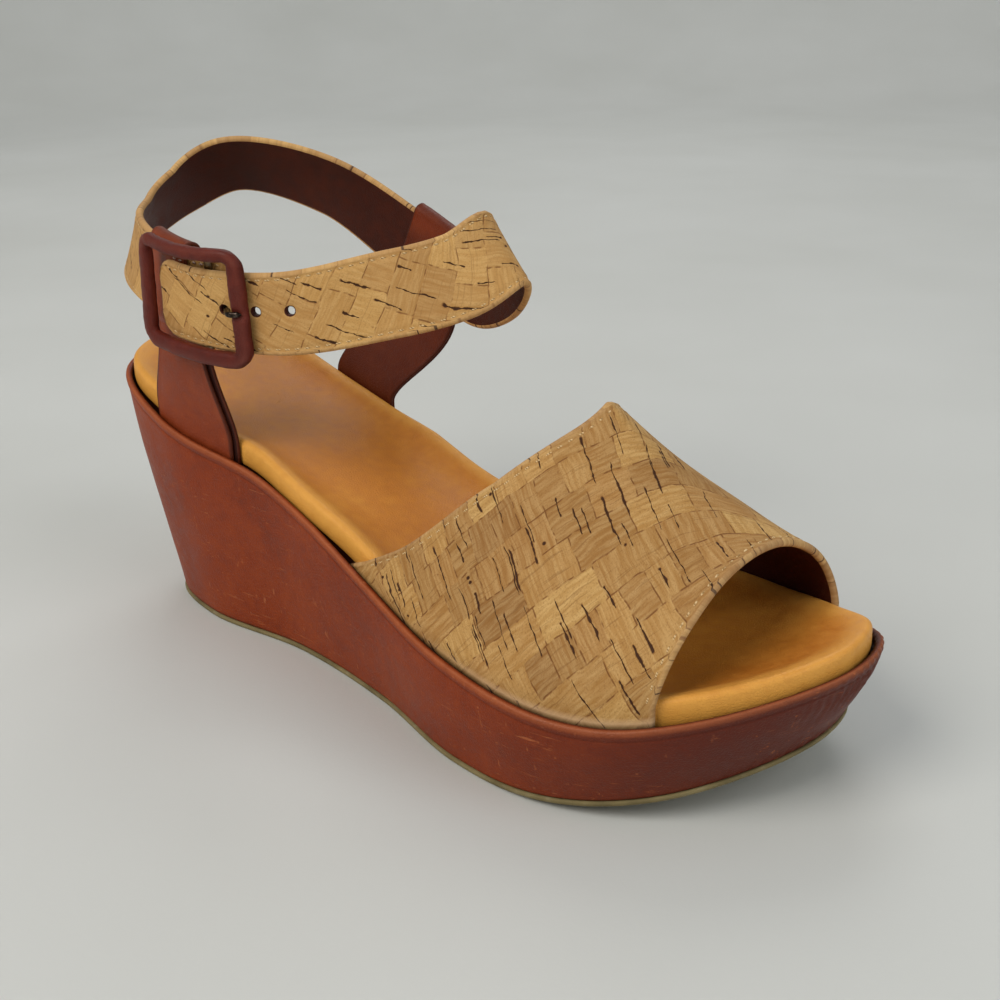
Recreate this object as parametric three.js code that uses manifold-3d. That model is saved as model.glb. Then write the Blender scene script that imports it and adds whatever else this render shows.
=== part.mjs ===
// Platform wedge sandal, the right shoe of a pair: a wide toe strap, an ankle strap with
// a buckle, two side tabs that carry it, a footbed, a covered wedge and a thin outsole.
// Millimetres. +X runs to the toe, +Y to the inner (medial) side, +Z up. The origin lies on
// the floor at the middle of the heel's tread.

import * as THREE from "three";
import { mergeVertices } from "three/addons/utils/BufferGeometryUtils.js";
import Module from "manifold-3d";

const wasm = await Module();
wasm.setup();

// Sole sizes
const SHOE_LENGTH = 240; // rim, from the back of the heel to the tip of the toe
const BALL_WIDTH = 90; // rim, across the ball of the foot
const TREAD_LENGTH = 220; // the same two sizes where the wedge meets the outsole
const TREAD_WIDTH = 85;
const HEEL_HEIGHT = 74; // floor to the rim at the back of the heel
const PLATFORM_HEIGHT = 27; // floor to the rim under the ball
const TOE_SPRING = 14; // lift of the outsole's tip above the floor
const HEEL_TREAD_FROM_BACK = 42; // back of the rim to the middle of the heel's tread
const BALL_LINE_FROM_BACK = 165; // where the outsole leaves the floor
const OUTSOLE_THICKNESS = 2.6;
const OUTSOLE_LIP = 0.4; // how far the outsole stands out past the wedge
const TREAD_EDGE = 0.9; // bevel round the outsole's lower edge
const RIM_WALL = 1.4; // leather bead round the top of the wedge
const RIM_BEAD = 0.5; // how far that bead swells outwards
const RIM_BEAD_DROP = 1.6; // top of the rim down to the middle of that bead
const SEAT_DEPTH = 2.5; // rim down to the seat that the footbed is glued on
const SIDE_SWELL = 0.9; // outward swell of the wedge's covered side
const WEDGE_FOOT = 0.5; // how far the wedge's lower edge is turned in

// Footbed sizes
const FOOTBED_RISE = 5.0; // footbed's edge above the rim
const FOOTBED_GROOVE = 0.8; // open groove between the rim and the footbed
const FOOTBED_EDGE_RADIUS = 1.8;
const FOOTBED_FOOT = 0.8; // bevel round the footbed's lower edge
const TUCK_MARGIN = 7; // the footbed gives way this far past a strap, then swells out again
const FOOTBED_DISH = 3.0; // how deep the footbed is hollowed for the foot
const DISH_WIDTH = 24; // how far the hollow's slope reaches in from the edge

// Upper sizes
const VAMP_WALL = 2.0;
const VAMP_RISE = 53; // crest over the footbed's edge at the back of the toe strap
const STRAP_WALL = 2.0;
const STRAP_WIDTH = 22;
const STRAP_STEP = 4.5; // spacing of the strap's sections
const ANKLE_LENGTH = 132; // the worn ankle loop's middle line, seen from above
const ANKLE_WIDTH = 79;
const ANKLE_FROM_BACK = 67; // back of the rim to the middle of the ankle loop
const ANKLE_OFFSET = 1.8; // middle of the ankle loop, to the inner side
const STRAP_HEIGHT = 111; // floor to the mean height of the ankle loop's middle line
const STRAP_SWAY = 16; // how far that middle line rises and drops
const TAB_WALL = 1.0; // one layer; the tab is folded double
const TAB_UPRIGHT = 2; // how far its ends keep their direction, in heights of its skirt
const LATERAL_TAB_WIDTH = 18.5;
const MEDIAL_TAB_WIDTH = 26;
const CLEARANCE = 0.3;
const SMALLEST_DETAIL = 0.02; // cuts and joints leave no sliver thinner than this

// Buckle sizes
const BUCKLE_LENGTH = 36; // along the strap
const BUCKLE_WINDOW_SPARE = 0.5; // window past the strap's edge, each side
const BUCKLE_BAR = 4.4; // width of the leather covered frame
const BUCKLE_THICKNESS = 3.2;
const BUCKLE_CORNER = 5.5; // outer corner radius
const BUCKLE_SQUARENESS = 0.8; // exponent of its frame's section, 1 for an oval
const PIVOT_BAR_WIDTH = 2.6;
const PIVOT_BAR_THICKNESS = 1.1;
const PIVOT_BAR_FROM_MIDDLE = 4;
const PRONG_WIDTH = 2.0;
const PRONG_THICKNESS = 1.6;
const HOLE_FROM_MIDDLE = 10; // the hole in use, from the buckle's middle
const HOLE_PITCH = 9;
const FREE_HOLES = 2;
const HOLE_RADIUS = 1.2;
const STRAP_END_OVERLAP = 0.5; // inner end of the strap past the buckle's front bar
const STRAP_RISEN = 5; // the free end lies on its start from this far before the buckle
const STRAP_LEVEL = 36; // and leaves the ankle's loop this far before the buckle

// Outlines, a row for each station from heel to toe. Along is a share of the length from
// the back of the rim, across a share of the width, minus on the outer (lateral) side.
const RIM_OUTLINE = {
  heel: { along: 0, across: 0.03 },
  stations: [
    { lateral: { along: 0.033, across: -0.269 }, medial: { along: 0.035, across: 0.282 } },
    { lateral: { along: 0.145, across: -0.383 }, medial: { along: 0.149, across: 0.356 } },
    { lateral: { along: 0.33, across: -0.383 }, medial: { along: 0.338, across: 0.288 } },
    { lateral: { along: 0.499, across: -0.451 }, medial: { along: 0.498, across: 0.291 } },
    { lateral: { along: 0.655, across: -0.547 }, medial: { along: 0.67, across: 0.412 } },
    { lateral: { along: 0.786, across: -0.555 }, medial: { along: 0.825, across: 0.44 } },
    { lateral: { along: 0.899, across: -0.427 }, medial: { along: 0.947, across: 0.287 } },
    { lateral: { along: 0.975, across: -0.188 }, medial: { along: 0.987, across: 0.185 } },
  ],
  toe: { along: 1, across: 0.0 },
};
const TREAD_OUTLINE = {
  heel: { along: 0.055, across: 0.03 },
  stations: [
    { lateral: { along: 0.088, across: -0.235 }, medial: { along: 0.09, across: 0.272 } },
    { lateral: { along: 0.2, across: -0.345 }, medial: { along: 0.2, across: 0.335 } },
    { lateral: { along: 0.378, across: -0.332 }, medial: { along: 0.38, across: 0.268 } },
    { lateral: { along: 0.553, across: -0.404 }, medial: { along: 0.542, across: 0.295 } },
    { lateral: { along: 0.712, across: -0.525 }, medial: { along: 0.727, across: 0.43 } },
    { lateral: { along: 0.848, across: -0.53 }, medial: { along: 0.885, across: 0.462 } },
    { lateral: { along: 0.957, across: -0.408 }, medial: { along: 1.008, across: 0.31 } },
    { lateral: { along: 1.03, across: -0.18 }, medial: { along: 1.043, across: 0.195 } },
  ],
  toe: { along: 1.054, across: 0.005 },
};
const STEPS_PER_STATION = 4;

// Rings of the wedge's side. Share runs from the tread (0) to just under the rim (1), swell
// is a share of the side's swell.
const WALL_RINGS = [
  { share: 0.05, swell: 0 },
  { share: 0.35, swell: 1 },
  { share: 0.7, swell: 1 },
  { share: 1, swell: 0 },
];

// Side view of the rim: height is a share of the drop from heel to platform.
const RIM_HEIGHTS = [
  { along: 0, height: 1 },
  { along: 0.1, height: 0.83 },
  { along: 0.2, height: 0.69 },
  { along: 0.31, height: 0.585 },
  { along: 0.417, height: 0.425 },
  { along: 0.521, height: 0.24 },
  { along: 0.625, height: 0.11 },
  { along: 0.729, height: 0.025 },
  { along: 0.833, height: 0 },
  { along: 0.917, height: 0.085 },
  { along: 1, height: 0.2 },
];

// Rings of the footbed's hollow, from its edge inwards. Share is of the slope's width, depth
// of the hollow's depth.
const DISH_RINGS = [
  { share: 0.12, depth: 0.12 },
  { share: 0.35, depth: 0.55 },
  { share: 0.65, depth: 0.88 },
  { share: 1, depth: 1 },
];

// Sections of the last over the footbed. Rise is a share of the toe strap's rise, swell the
// exponent that turns a round arch (1) into a peaked one, and lean the shift of its crest.
const LAST_SECTIONS = [
  { along: 0.45, rise: 1.5, swell: 1.7, lean: 0.02 },
  { along: 0.6, rise: 1.24, swell: 1.7, lean: 0.03 },
  { along: 0.708, rise: 1, swell: 1.6, lean: 0.03 },
  { along: 0.8, rise: 0.7, swell: 1.25, lean: 0.03 },
  { along: 0.888, rise: 0.44, swell: 1, lean: 0.02 },
  { along: 0.93, rise: 0.38, swell: 0.95, lean: 0.02 },
];
// Edges of the toe strap from the rim on the outer side (turn 0) over the crest to the rim on
// the inner side (turn 1), as shares of the length.
const VAMP_EDGES = [
  { turn: 0, back: 0.49, front: 0.878 },
  { turn: 0.12, back: 0.573, front: 0.883 },
  { turn: 0.25, back: 0.652, front: 0.887 },
  { turn: 0.38, back: 0.704, front: 0.888 },
  { turn: 0.5, back: 0.713, front: 0.889 },
  { turn: 0.62, back: 0.7, front: 0.892 },
  { turn: 0.75, back: 0.645, front: 0.899 },
  { turn: 0.88, back: 0.56, front: 0.907 },
  { turn: 1, back: 0.467, front: 0.917 },
];

// Worn ankle loop, a row for every thirty degrees from the front by the outer side. Along and
// across are shares of its half length and half width, height a share of the sway, and lean
// the tilt of the strap's face in degrees, with its upper edge inwards.
const ANKLE_STATIONS = [
  { along: 0.98, across: 0.13, height: 0.3, lean: 37 },
  { along: 0.92, across: -0.19, height: -0.03, lean: 22 },
  { along: 0.57, across: -0.69, height: -0.4, lean: 5 },
  { along: 0.04, across: -1, height: -0.46, lean: -5 },
  { along: -0.56, across: -0.82, height: -0.17, lean: 8 },
  { along: -0.95, across: -0.31, height: -0.05, lean: 33 },
  { along: -0.97, across: 0.08, height: 0.43, lean: 42 },
  { along: -0.83, across: 0.43, height: 1.02, lean: 40 },
  { along: -0.45, across: 0.84, height: 0.56, lean: 23 },
  { along: 0.04, across: 0.99, height: -0.48, lean: -2 },
  { along: 0.5, across: 0.78, height: -0.9, lean: -6 },
  { along: 0.86, across: 0.41, height: -0.28, lean: 14 },
];

// Where each tab leaves the rim, rear and front, as shares of the length, and the middle of
// its loop along the ankle strap.
const LATERAL_TAB = { rear: 0.137, front: 0.272, loop: 0.227 };
const MEDIAL_TAB = { rear: 0.185, front: 0.3, loop: 0.325 };
const BUCKLE_ALONG = 0.283; // the buckle's middle, a share of the length from the back

const lerp = THREE.MathUtils.lerp;
const clamp = THREE.MathUtils.clamp;
const smoothstep = THREE.MathUtils.smoothstep;

// Smooth curve through the rows of a table, from one named column to another.
function curveThrough(rows, from, to) {
  const last = rows.length - 1;
  const slope = (k) => {
    const before = rows[Math.max(k - 1, 0)];
    const after = rows[Math.min(k + 1, last)];
    return (after[to] - before[to]) / (after[from] - before[from]);
  };
  return (value) => {
    let k = 0;
    while (k < last - 1 && value > rows[k + 1][from]) k += 1;
    const span = rows[k + 1][from] - rows[k][from];
    const s = clamp((value - rows[k][from]) / span, 0, 1);
    const rising = s * s * (3 - 2 * s);
    const startSlope = s * (1 - s) * (1 - s) * span * slope(k);
    const endSlope = s * s * (s - 1) * span * slope(k + 1);
    return lerp(rows[k][to], rows[k + 1][to], rising) + startSlope + endSlope;
  };
}

const xAt = (along) => along * SHOE_LENGTH - HEEL_TREAD_FROM_BACK;
const alongAt = (x) => (x + HEEL_TREAD_FROM_BACK) / SHOE_LENGTH;

const rimShare = curveThrough(RIM_HEIGHTS, "along", "height");
const rimHeight = (x) => lerp(PLATFORM_HEIGHT, HEEL_HEIGHT, rimShare(alongAt(x)));
const seatHeight = (x) => rimHeight(x) - SEAT_DEPTH;

function treadHeight(x) {
  const ball = BALL_LINE_FROM_BACK - HEEL_TREAD_FROM_BACK;
  const tip = xAt(0) + TREAD_OUTLINE.toe.along * TREAD_LENGTH;
  return TOE_SPRING * Math.max(0, (x - ball) / (tip - ball)) ** 2;
}

// Closed outline seen from above: heel, outer side, toe, inner side. Point i of the outer
// side faces point (count - i) of the inner side.
function outline(table, length, width) {
  const lateral = table.stations.map((row) => row.lateral);
  const medial = table.stations.map((row) => row.medial).reverse();
  const controls = [table.heel, ...lateral, table.toe, ...medial].map(
    (point) => new THREE.Vector3(xAt(0) + point.along * length, point.across * width, 0),
  );
  const curve = new THREE.CatmullRomCurve3(controls, true, "centripetal");
  const count = controls.length * STEPS_PER_STATION;
  return Array.from({ length: count }, (_, i) => curve.getPoint(i / count));
}

// The outline moved inwards by a distance, or by a function of its points.
function inset(points, distance) {
  const count = points.length;
  return points.map((point, i) => {
    const along = points[(i + 1) % count].clone().sub(points[(i + count - 1) % count]).normalize();
    const depth = typeof distance === "function" ? distance(point) : distance;
    return new THREE.Vector3(point.x - along.y * depth, point.y + along.x * depth, 0);
  });
}

// The outline drawn in by a share of the way to the line down its middle, which ends half a
// ball width short of the heel and the toe.
function shrink(points, share) {
  const count = points.length;
  const heel = points[0].x + BALL_WIDTH / 2;
  const toe = points[count / 2].x - BALL_WIDTH / 2;
  return points.map((point, i) => {
    const facing = points[(count - i) % count];
    const middle = new THREE.Vector3(clamp(point.x, heel, toe), (point.y + facing.y) / 2, 0);
    return point.clone().lerp(middle, share);
  });
}

const atHeight = (points, height) => points.map((p) => new THREE.Vector3(p.x, p.y, height(p.x, p.y)));

// Closed body from points and triangles, with its faces turned outwards.
function solid(points, triangles) {
  let volume = 0;
  for (const [a, b, c] of triangles) {
    volume += points[a].dot(points[b].clone().cross(points[c]));
  }
  const facing = volume < 0 ? triangles.map(([a, b, c]) => [a, c, b]) : triangles;
  const geometry = new THREE.BufferGeometry();
  const positions = points.flatMap((p) => [p.x, p.y, p.z]);
  geometry.setAttribute("position", new THREE.Float32BufferAttribute(positions, 3));
  geometry.setIndex(facing.flat());
  return geometry;
}

function quad(triangles, a, b, c, d) {
  triangles.push([a, b, c], [a, c, d]);
}

// Body through a stack of outlines, closed by rungs from the outer to the inner side.
function loft(rings) {
  const count = rings[0].length;
  const points = rings.flat();
  const triangles = [];
  for (let r = 0; r + 1 < rings.length; r += 1) {
    for (let i = 0; i < count; i += 1) {
      const j = (i + 1) % count;
      quad(triangles, r * count + i, r * count + j, (r + 1) * count + j, (r + 1) * count + i);
    }
  }
  const rungs = (start, flipped) => {
    const cap = [];
    for (let i = 0; i < count / 2; i += 1) {
      const corners = [i, i + 1, count - i - 1, (count - i) % count].map((k) => start + k);
      const distinct = [...new Set(corners)];
      if (distinct.length === 3) cap.push(distinct);
      else quad(cap, ...corners);
    }
    for (const triangle of cap) triangles.push(flipped ? triangle.reverse() : triangle);
  };
  rungs(0, true);
  rungs((rings.length - 1) * count, false);
  return solid(points, triangles);
}

// Sheet of a given wall from a grid of points on its middle surface.
function sheet(grid, wall) {
  const rows = grid.length;
  const columns = grid[0].length;
  const faceNormal = (i, j) => {
    const down = grid[Math.min(i + 1, rows - 1)][j].clone().sub(grid[Math.max(i - 1, 0)][j]);
    const over = grid[i][Math.min(j + 1, columns - 1)].clone().sub(grid[i][Math.max(j - 1, 0)]);
    return down.cross(over).normalize();
  };
  const points = [];
  const face = (side) =>
    grid.map((row, i) =>
      row.map((point, j) => {
        points.push(point.clone().addScaledVector(faceNormal(i, j), (side * wall) / 2));
        return points.length - 1;
      }),
    );
  const outer = face(1);
  const inner = face(-1);
  const triangles = [];
  for (let i = 0; i + 1 < rows; i += 1) {
    for (let j = 0; j + 1 < columns; j += 1) {
      quad(triangles, outer[i][j], outer[i + 1][j], outer[i + 1][j + 1], outer[i][j + 1]);
      quad(triangles, inner[i][j], inner[i][j + 1], inner[i + 1][j + 1], inner[i + 1][j]);
    }
  }
  const border = [];
  for (let i = 0; i + 1 < rows; i += 1) border.push([i, 0]);
  for (let j = 0; j + 1 < columns; j += 1) border.push([rows - 1, j]);
  for (let i = rows - 1; i > 0; i -= 1) border.push([i, columns - 1]);
  for (let j = columns - 1; j > 0; j -= 1) border.push([0, j]);
  for (let k = 0; k < border.length; k += 1) {
    const [i, j] = border[k];
    const [m, n] = border[(k + 1) % border.length];
    quad(triangles, outer[i][j], inner[i][j], inner[m][n], outer[m][n]);
  }
  return solid(points, triangles);
}

// Body swept through closed sections of equal point count, capped at both ends.
function sweep(sections, closed) {
  const count = sections[0].length;
  const points = sections.flat();
  const triangles = [];
  const turns = closed ? sections.length : sections.length - 1;
  for (let s = 0; s < turns; s += 1) {
    const next = (s + 1) % sections.length;
    for (let i = 0; i < count; i += 1) {
      const j = (i + 1) % count;
      quad(triangles, s * count + i, s * count + j, next * count + j, next * count + i);
    }
  }
  if (!closed) {
    const end = (sections.length - 1) * count;
    for (let i = 1; i + 1 < count; i += 1) {
      triangles.push([0, i + 1, i], [end, end + i, end + i + 1]);
    }
  }
  return solid(points, triangles);
}

function toManifold(geometry) {
  const bare = geometry.clone();
  bare.deleteAttribute("normal");
  bare.deleteAttribute("uv");
  const merged = mergeVertices(bare, 1e-5);
  return new wasm.Manifold(
    new wasm.Mesh({
      numProp: 3,
      vertProperties: new Float32Array(merged.attributes.position.array),
      triVerts: new Uint32Array(merged.index.array),
    }),
  );
}

function fromManifold(body) {
  const mesh = body.simplify(SMALLEST_DETAIL).getMesh();
  const geometry = new THREE.BufferGeometry();
  const positions = new Float32Array(mesh.vertProperties);
  geometry.setAttribute("position", new THREE.BufferAttribute(positions, 3));
  geometry.setIndex(new THREE.BufferAttribute(new Uint32Array(mesh.triVerts), 1));
  return geometry;
}

// Sole: outlines shared by the outsole, the wedge and the footbed.
const rim = outline(RIM_OUTLINE, SHOE_LENGTH, BALL_WIDTH);
const tread = outline(TREAD_OUTLINE, TREAD_LENGTH, TREAD_WIDTH);
const STRAP_SEAT = Math.max(VAMP_WALL, 2 * TAB_WALL); // room for what is tucked beside the footbed
const SEAT_MIDDLE = RIM_WALL + CLEARANCE + STRAP_SEAT / 2;
const SKIRT = SEAT_DEPTH + FOOTBED_RISE - 1; // upright part of the toe strap in the groove

// The wedge's leather wall at a share of its height, from the tread to just under the rim.
function wallRing(share, swell) {
  const high = inset(rim, -swell);
  return tread.map((low, i) => {
    const point = low.clone().lerp(high[i], share);
    const base = treadHeight(low.x) + OUTSOLE_THICKNESS + CLEARANCE;
    point.z = lerp(base, rimHeight(high[i].x) - 2 * RIM_BEAD_DROP, share);
    return point;
  });
}

// One where a strap or a tab is tucked in beside the footbed, falling to zero past its ends.
function tuckedShare(point) {
  const tab = point.y < 0 ? LATERAL_TAB : MEDIAL_TAB;
  const vampFoot = point.y < 0 ? VAMP_EDGES[0] : VAMP_EDGES[VAMP_EDGES.length - 1];
  const spans = [
    [vampFoot.back, vampFoot.front],
    [tab.rear, tab.front],
  ];
  const shares = spans.map(([from, to]) => {
    const out = Math.max(xAt(from) - point.x, point.x - xAt(to));
    return 1 - smoothstep(out, TUCK_MARGIN, 2 * TUCK_MARGIN);
  });
  return Math.max(...shares);
}

// Edge of the footbed, moved in by some more.
function footbedEdge(more) {
  const tucked = STRAP_SEAT + 2 * CLEARANCE;
  return inset(rim, (point) => RIM_WALL + more + lerp(FOOTBED_GROOVE, tucked, tuckedShare(point)));
}

const footbedFoot = footbedEdge(FOOTBED_FOOT);

function outsole() {
  const grown = inset(tread, -OUTSOLE_LIP);
  const bevelled = inset(tread, TREAD_EDGE - OUTSOLE_LIP);
  return loft([
    atHeight(bevelled, treadHeight),
    atHeight(grown, (x) => treadHeight(x) + TREAD_EDGE),
    atHeight(grown, (x) => treadHeight(x) + OUTSOLE_THICKNESS),
  ]);
}

function wedge() {
  const wall = WALL_RINGS.map((row) => wallRing(row.share, row.swell * SIDE_SWELL));
  return loft([
    atHeight(inset(tread, WEDGE_FOOT), (x) => treadHeight(x) + OUTSOLE_THICKNESS + CLEARANCE),
    ...wall,
    atHeight(inset(rim, -RIM_BEAD), (x) => rimHeight(x) - RIM_BEAD_DROP),
    atHeight(inset(rim, -RIM_BEAD / 2), (x) => rimHeight(x) - RIM_BEAD_DROP / 4),
    atHeight(inset(rim, RIM_WALL / 2), rimHeight),
    atHeight(inset(rim, RIM_WALL), (x) => rimHeight(x) - RIM_BEAD_DROP / 4),
    atHeight(inset(rim, RIM_WALL), seatHeight),
    atHeight(footbedFoot, seatHeight),
  ]);
}

function footbed() {
  const top = (x) => rimHeight(x) + FOOTBED_RISE;
  const shoulder = FOOTBED_EDGE_RADIUS * (1 - Math.SQRT1_2);
  const crest = footbedEdge(FOOTBED_EDGE_RADIUS);
  const dish = (share) => shrink(crest, (share * DISH_WIDTH) / (BALL_WIDTH / 2));
  const hollow = DISH_RINGS.map((row) =>
    atHeight(dish(row.share), (x) => top(x) - row.depth * FOOTBED_DISH),
  );
  return loft([
    atHeight(footbedFoot, (x) => seatHeight(x) + CLEARANCE),
    atHeight(footbedEdge(0), (x) => seatHeight(x) + CLEARANCE + FOOTBED_FOOT),
    atHeight(footbedEdge(0), (x) => top(x) - FOOTBED_EDGE_RADIUS),
    atHeight(footbedEdge(shoulder), (x) => top(x) - shoulder),
    atHeight(crest, top),
    ...hollow,
  ]);
}

// Last: the surface that the toe strap follows. Its sides start on the groove beside the
// footbed, one table of points for each side.
const groove = inset(rim, SEAT_MIDDLE);
const grooveSides = {
  lateral: curveThrough(groove.slice(0, groove.length / 2 + 1), "x", "y"),
  medial: curveThrough([...groove.slice(groove.length / 2), groove[0]].reverse(), "x", "y"),
};
const lastRise = curveThrough(LAST_SECTIONS, "along", "rise");
const lastSwell = curveThrough(LAST_SECTIONS, "along", "swell");
const lastLean = curveThrough(LAST_SECTIONS, "along", "lean");

// Turn runs from 0 on the outer side over the crest to 1 on the inner side.
function lastPoint(x, turn) {
  const lateral = grooveSides.lateral(x);
  const medial = grooveSides.medial(x);
  const swell = lastSwell(alongAt(x));
  const cos = Math.cos(Math.PI * turn);
  const sin = Math.max(Math.sin(Math.PI * turn), 0);
  const reach = Math.sign(cos) * Math.abs(cos) ** swell;
  const lean = lastLean(alongAt(x)) * BALL_WIDTH * sin;
  const rise = lastRise(alongAt(x)) * VAMP_RISE * sin ** swell;
  return new THREE.Vector3(
    x,
    (lateral + medial) / 2 - (reach * (medial - lateral)) / 2 + lean,
    seatHeight(x) + SKIRT + rise,
  );
}

const vampBack = curveThrough(VAMP_EDGES, "turn", "back");
const vampFront = curveThrough(VAMP_EDGES, "turn", "front");

function vamp() {
  const lengthSteps = 10;
  const archSteps = 24;
  const grid = [];
  for (let i = 0; i <= lengthSteps; i += 1) {
    const along = i / lengthSteps;
    const xOf = (turn) => xAt(lerp(vampBack(turn), vampFront(turn), along));
    const down = (point, share) => {
      point.z -= share * (SKIRT - CLEARANCE);
      return point;
    };
    const row = [down(lastPoint(xOf(0), 0), 1), down(lastPoint(xOf(0), 0), 0.5)];
    for (let j = 0; j <= archSteps; j += 1) row.push(lastPoint(xOf(j / archSteps), j / archSteps));
    row.push(down(lastPoint(xOf(1), 1), 0.5), down(lastPoint(xOf(1), 1), 1));
    grid.push(row);
  }
  return sheet(grid, VAMP_WALL);
}

// Ankle band: a frame at each distance along the worn loop, counted from the buckle's middle
// forwards along the outer side, round the front and back along the inner side.
function bandFrames() {
  const column = (key, centre, half) => ANKLE_STATIONS.map((row) => centre + row[key] * half);
  const xs = column("along", ANKLE_FROM_BACK + xAt(0), ANKLE_LENGTH / 2);
  const ys = column("across", ANKLE_OFFSET, ANKLE_WIDTH / 2);
  const zs = column("height", STRAP_HEIGHT, STRAP_SWAY);
  const line = new THREE.CatmullRomCurve3(
    xs.map((x, i) => new THREE.Vector3(x, ys[i], zs[i])),
    true,
    "centripetal",
  );
  const leans = new THREE.CatmullRomCurve3(
    ANKLE_STATIONS.map((row, i) => new THREE.Vector3(i, row.lean, 0)),
    true,
    "centripetal",
  );
  const count = 720;
  const frames = [];
  let distance = 0;
  for (let i = 0; i <= count; i += 1) {
    const place = line.getPoint(i / count);
    if (i > 0) distance += place.distanceTo(frames[i - 1].place);
    const tangent = line.getTangent(i / count);
    const outward = new THREE.Vector3(-tangent.y, tangent.x, 0).normalize();
    const upright = new THREE.Vector3().crossVectors(outward, tangent);
    if (upright.z < 0) upright.negate();
    const lean = THREE.MathUtils.degToRad(leans.getPoint(i / count).y);
    const up = upright.clone().multiplyScalar(Math.cos(lean)).addScaledVector(outward, -Math.sin(lean));
    const out = outward.clone().multiplyScalar(Math.cos(lean)).addScaledVector(upright, Math.sin(lean));
    frames.push({ place, up, out, distance });
  }
  return frames;
}

const frames = bandFrames();
const GIRTH = frames[frames.length - 1].distance;

// Distance round the band, from the front, of the lateral or medial point at an x.
function distanceAt(x, side) {
  const sign = side === "lateral" ? -1 : 1;
  const near = frames.filter((frame) => sign * (frame.place.y - ANKLE_OFFSET) > 0);
  near.sort((a, b) => Math.abs(a.place.x - x) - Math.abs(b.place.x - x));
  return near[0].distance;
}

// Point at a distance round the band, at a height across its width and a depth out of it.
function bandPoint(distance, height, depth) {
  const wrapped = ((distance % GIRTH) + GIRTH) % GIRTH;
  let k = Math.min(Math.floor((wrapped / GIRTH) * frames.length), frames.length - 2);
  while (k > 0 && frames[k].distance > wrapped) k -= 1;
  while (k < frames.length - 2 && frames[k + 1].distance < wrapped) k += 1;
  const a = frames[k];
  const b = frames[k + 1];
  const s = (wrapped - a.distance) / (b.distance - a.distance);
  const up = a.up.clone().lerp(b.up, s).normalize();
  const out = a.out.clone().lerp(b.out, s).normalize();
  return a.place
    .clone()
    .lerp(b.place, s)
    .addScaledVector(up, height)
    .addScaledVector(out, depth);
}

const buckleMiddle = distanceAt(xAt(BUCKLE_ALONG), "lateral");
// From the buckle's middle, plus is towards the toe: the band runs from the front backwards.
const fromBuckle = (forward) => buckleMiddle - forward;

// Layers at the buckle, from the ankle outwards.
const TAB_OUTSIDE = STRAP_WALL / 2 + CLEARANCE + TAB_WALL;
const FREE_END_DEPTH = TAB_OUTSIDE + 2.3 * CLEARANCE + STRAP_WALL / 2;
const FRAME_DEPTH = FREE_END_DEPTH + STRAP_WALL / 2 + CLEARANCE + BUCKLE_THICKNESS / 2;

// The strap starts under the buckle's front bar, runs back round the heel, the inner side and
// the front, rises over its own start and ends under the buckle's rear bar.
function strapSheet() {
  const start = BUCKLE_LENGTH / 2 + STRAP_END_OVERLAP;
  const tip = BUCKLE_LENGTH / 2 - BUCKLE_BAR / 4;
  const length = GIRTH + start + tip;
  const risen = BUCKLE_LENGTH / 2 + STRAP_RISEN;
  const level = BUCKLE_LENGTH / 2 + STRAP_LEVEL;
  const steps = Math.round(length / STRAP_STEP);
  const grid = [];
  for (let i = 0; i <= steps; i += 1) {
    const run = (i / steps) * length;
    const forward = start - run;
    const toEnd = forward + GIRTH;
    const depth = FREE_END_DEPTH * (1 - smoothstep(toEnd, risen, level));
    const row = [-0.5, 0, 0.5].map((share) =>
      bandPoint(fromBuckle(forward), share * STRAP_WIDTH, depth),
    );
    grid.push(row);
  }
  return sheet(grid, STRAP_WALL);
}

// The prong lies on the front bar, with spare room around it where a cut is wanted.
function prongBody(spare) {
  const barTop = FRAME_DEPTH + BUCKLE_THICKNESS / 2;
  const root = PIVOT_BAR_FROM_MIDDLE + PIVOT_BAR_WIDTH / 2 + CLEARANCE + PRONG_THICKNESS / 2;
  const front = BUCKLE_LENGTH / 2 - BUCKLE_BAR / 2;
  const low = FREE_END_DEPTH / 2;
  const stops = [
    { forward: root - spare, depth: low },
    { forward: HOLE_FROM_MIDDLE - PRONG_WIDTH, depth: low + PRONG_THICKNESS / 3 },
    { forward: HOLE_FROM_MIDDLE, depth: FREE_END_DEPTH },
    { forward: HOLE_FROM_MIDDLE + PRONG_WIDTH, depth: barTop - PRONG_THICKNESS },
    { forward: front - PRONG_WIDTH, depth: barTop },
    { forward: front + PRONG_WIDTH / 2 + spare, depth: barTop - CLEARANCE },
  ];
  const path = new THREE.CatmullRomCurve3(
    stops.map((stop) => new THREE.Vector3(stop.forward, 0, stop.depth)),
  );
  const steps = 10;
  const sides = 6;
  const sections = [];
  for (let i = 0; i <= steps; i += 1) {
    const middle = path.getPoint(i / steps);
    const tangent = path.getTangent(i / steps);
    const section = [];
    for (let j = 0; j < sides; j += 1) {
      const angle = (j / sides) * 2 * Math.PI;
      const rise = (PRONG_THICKNESS / 2 + spare) * Math.sin(angle);
      const side = (PRONG_WIDTH / 2 + spare) * Math.cos(angle);
      section.push(
        bandPoint(fromBuckle(middle.x - tangent.z * rise), side, middle.z + tangent.x * rise),
      );
    }
    sections.push(section);
  }
  return sweep(sections, false);
}

function holePunch(forward) {
  const sides = 12;
  const ring = (depth) =>
    Array.from({ length: sides }, (_, k) => {
      const angle = (k / sides) * 2 * Math.PI;
      return bandPoint(
        fromBuckle(forward + HOLE_RADIUS * Math.cos(angle)),
        HOLE_RADIUS * Math.sin(angle),
        depth,
      );
    });
  return sweep([ring(-STRAP_WALL), ring(FREE_END_DEPTH + STRAP_WALL)], false);
}

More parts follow.
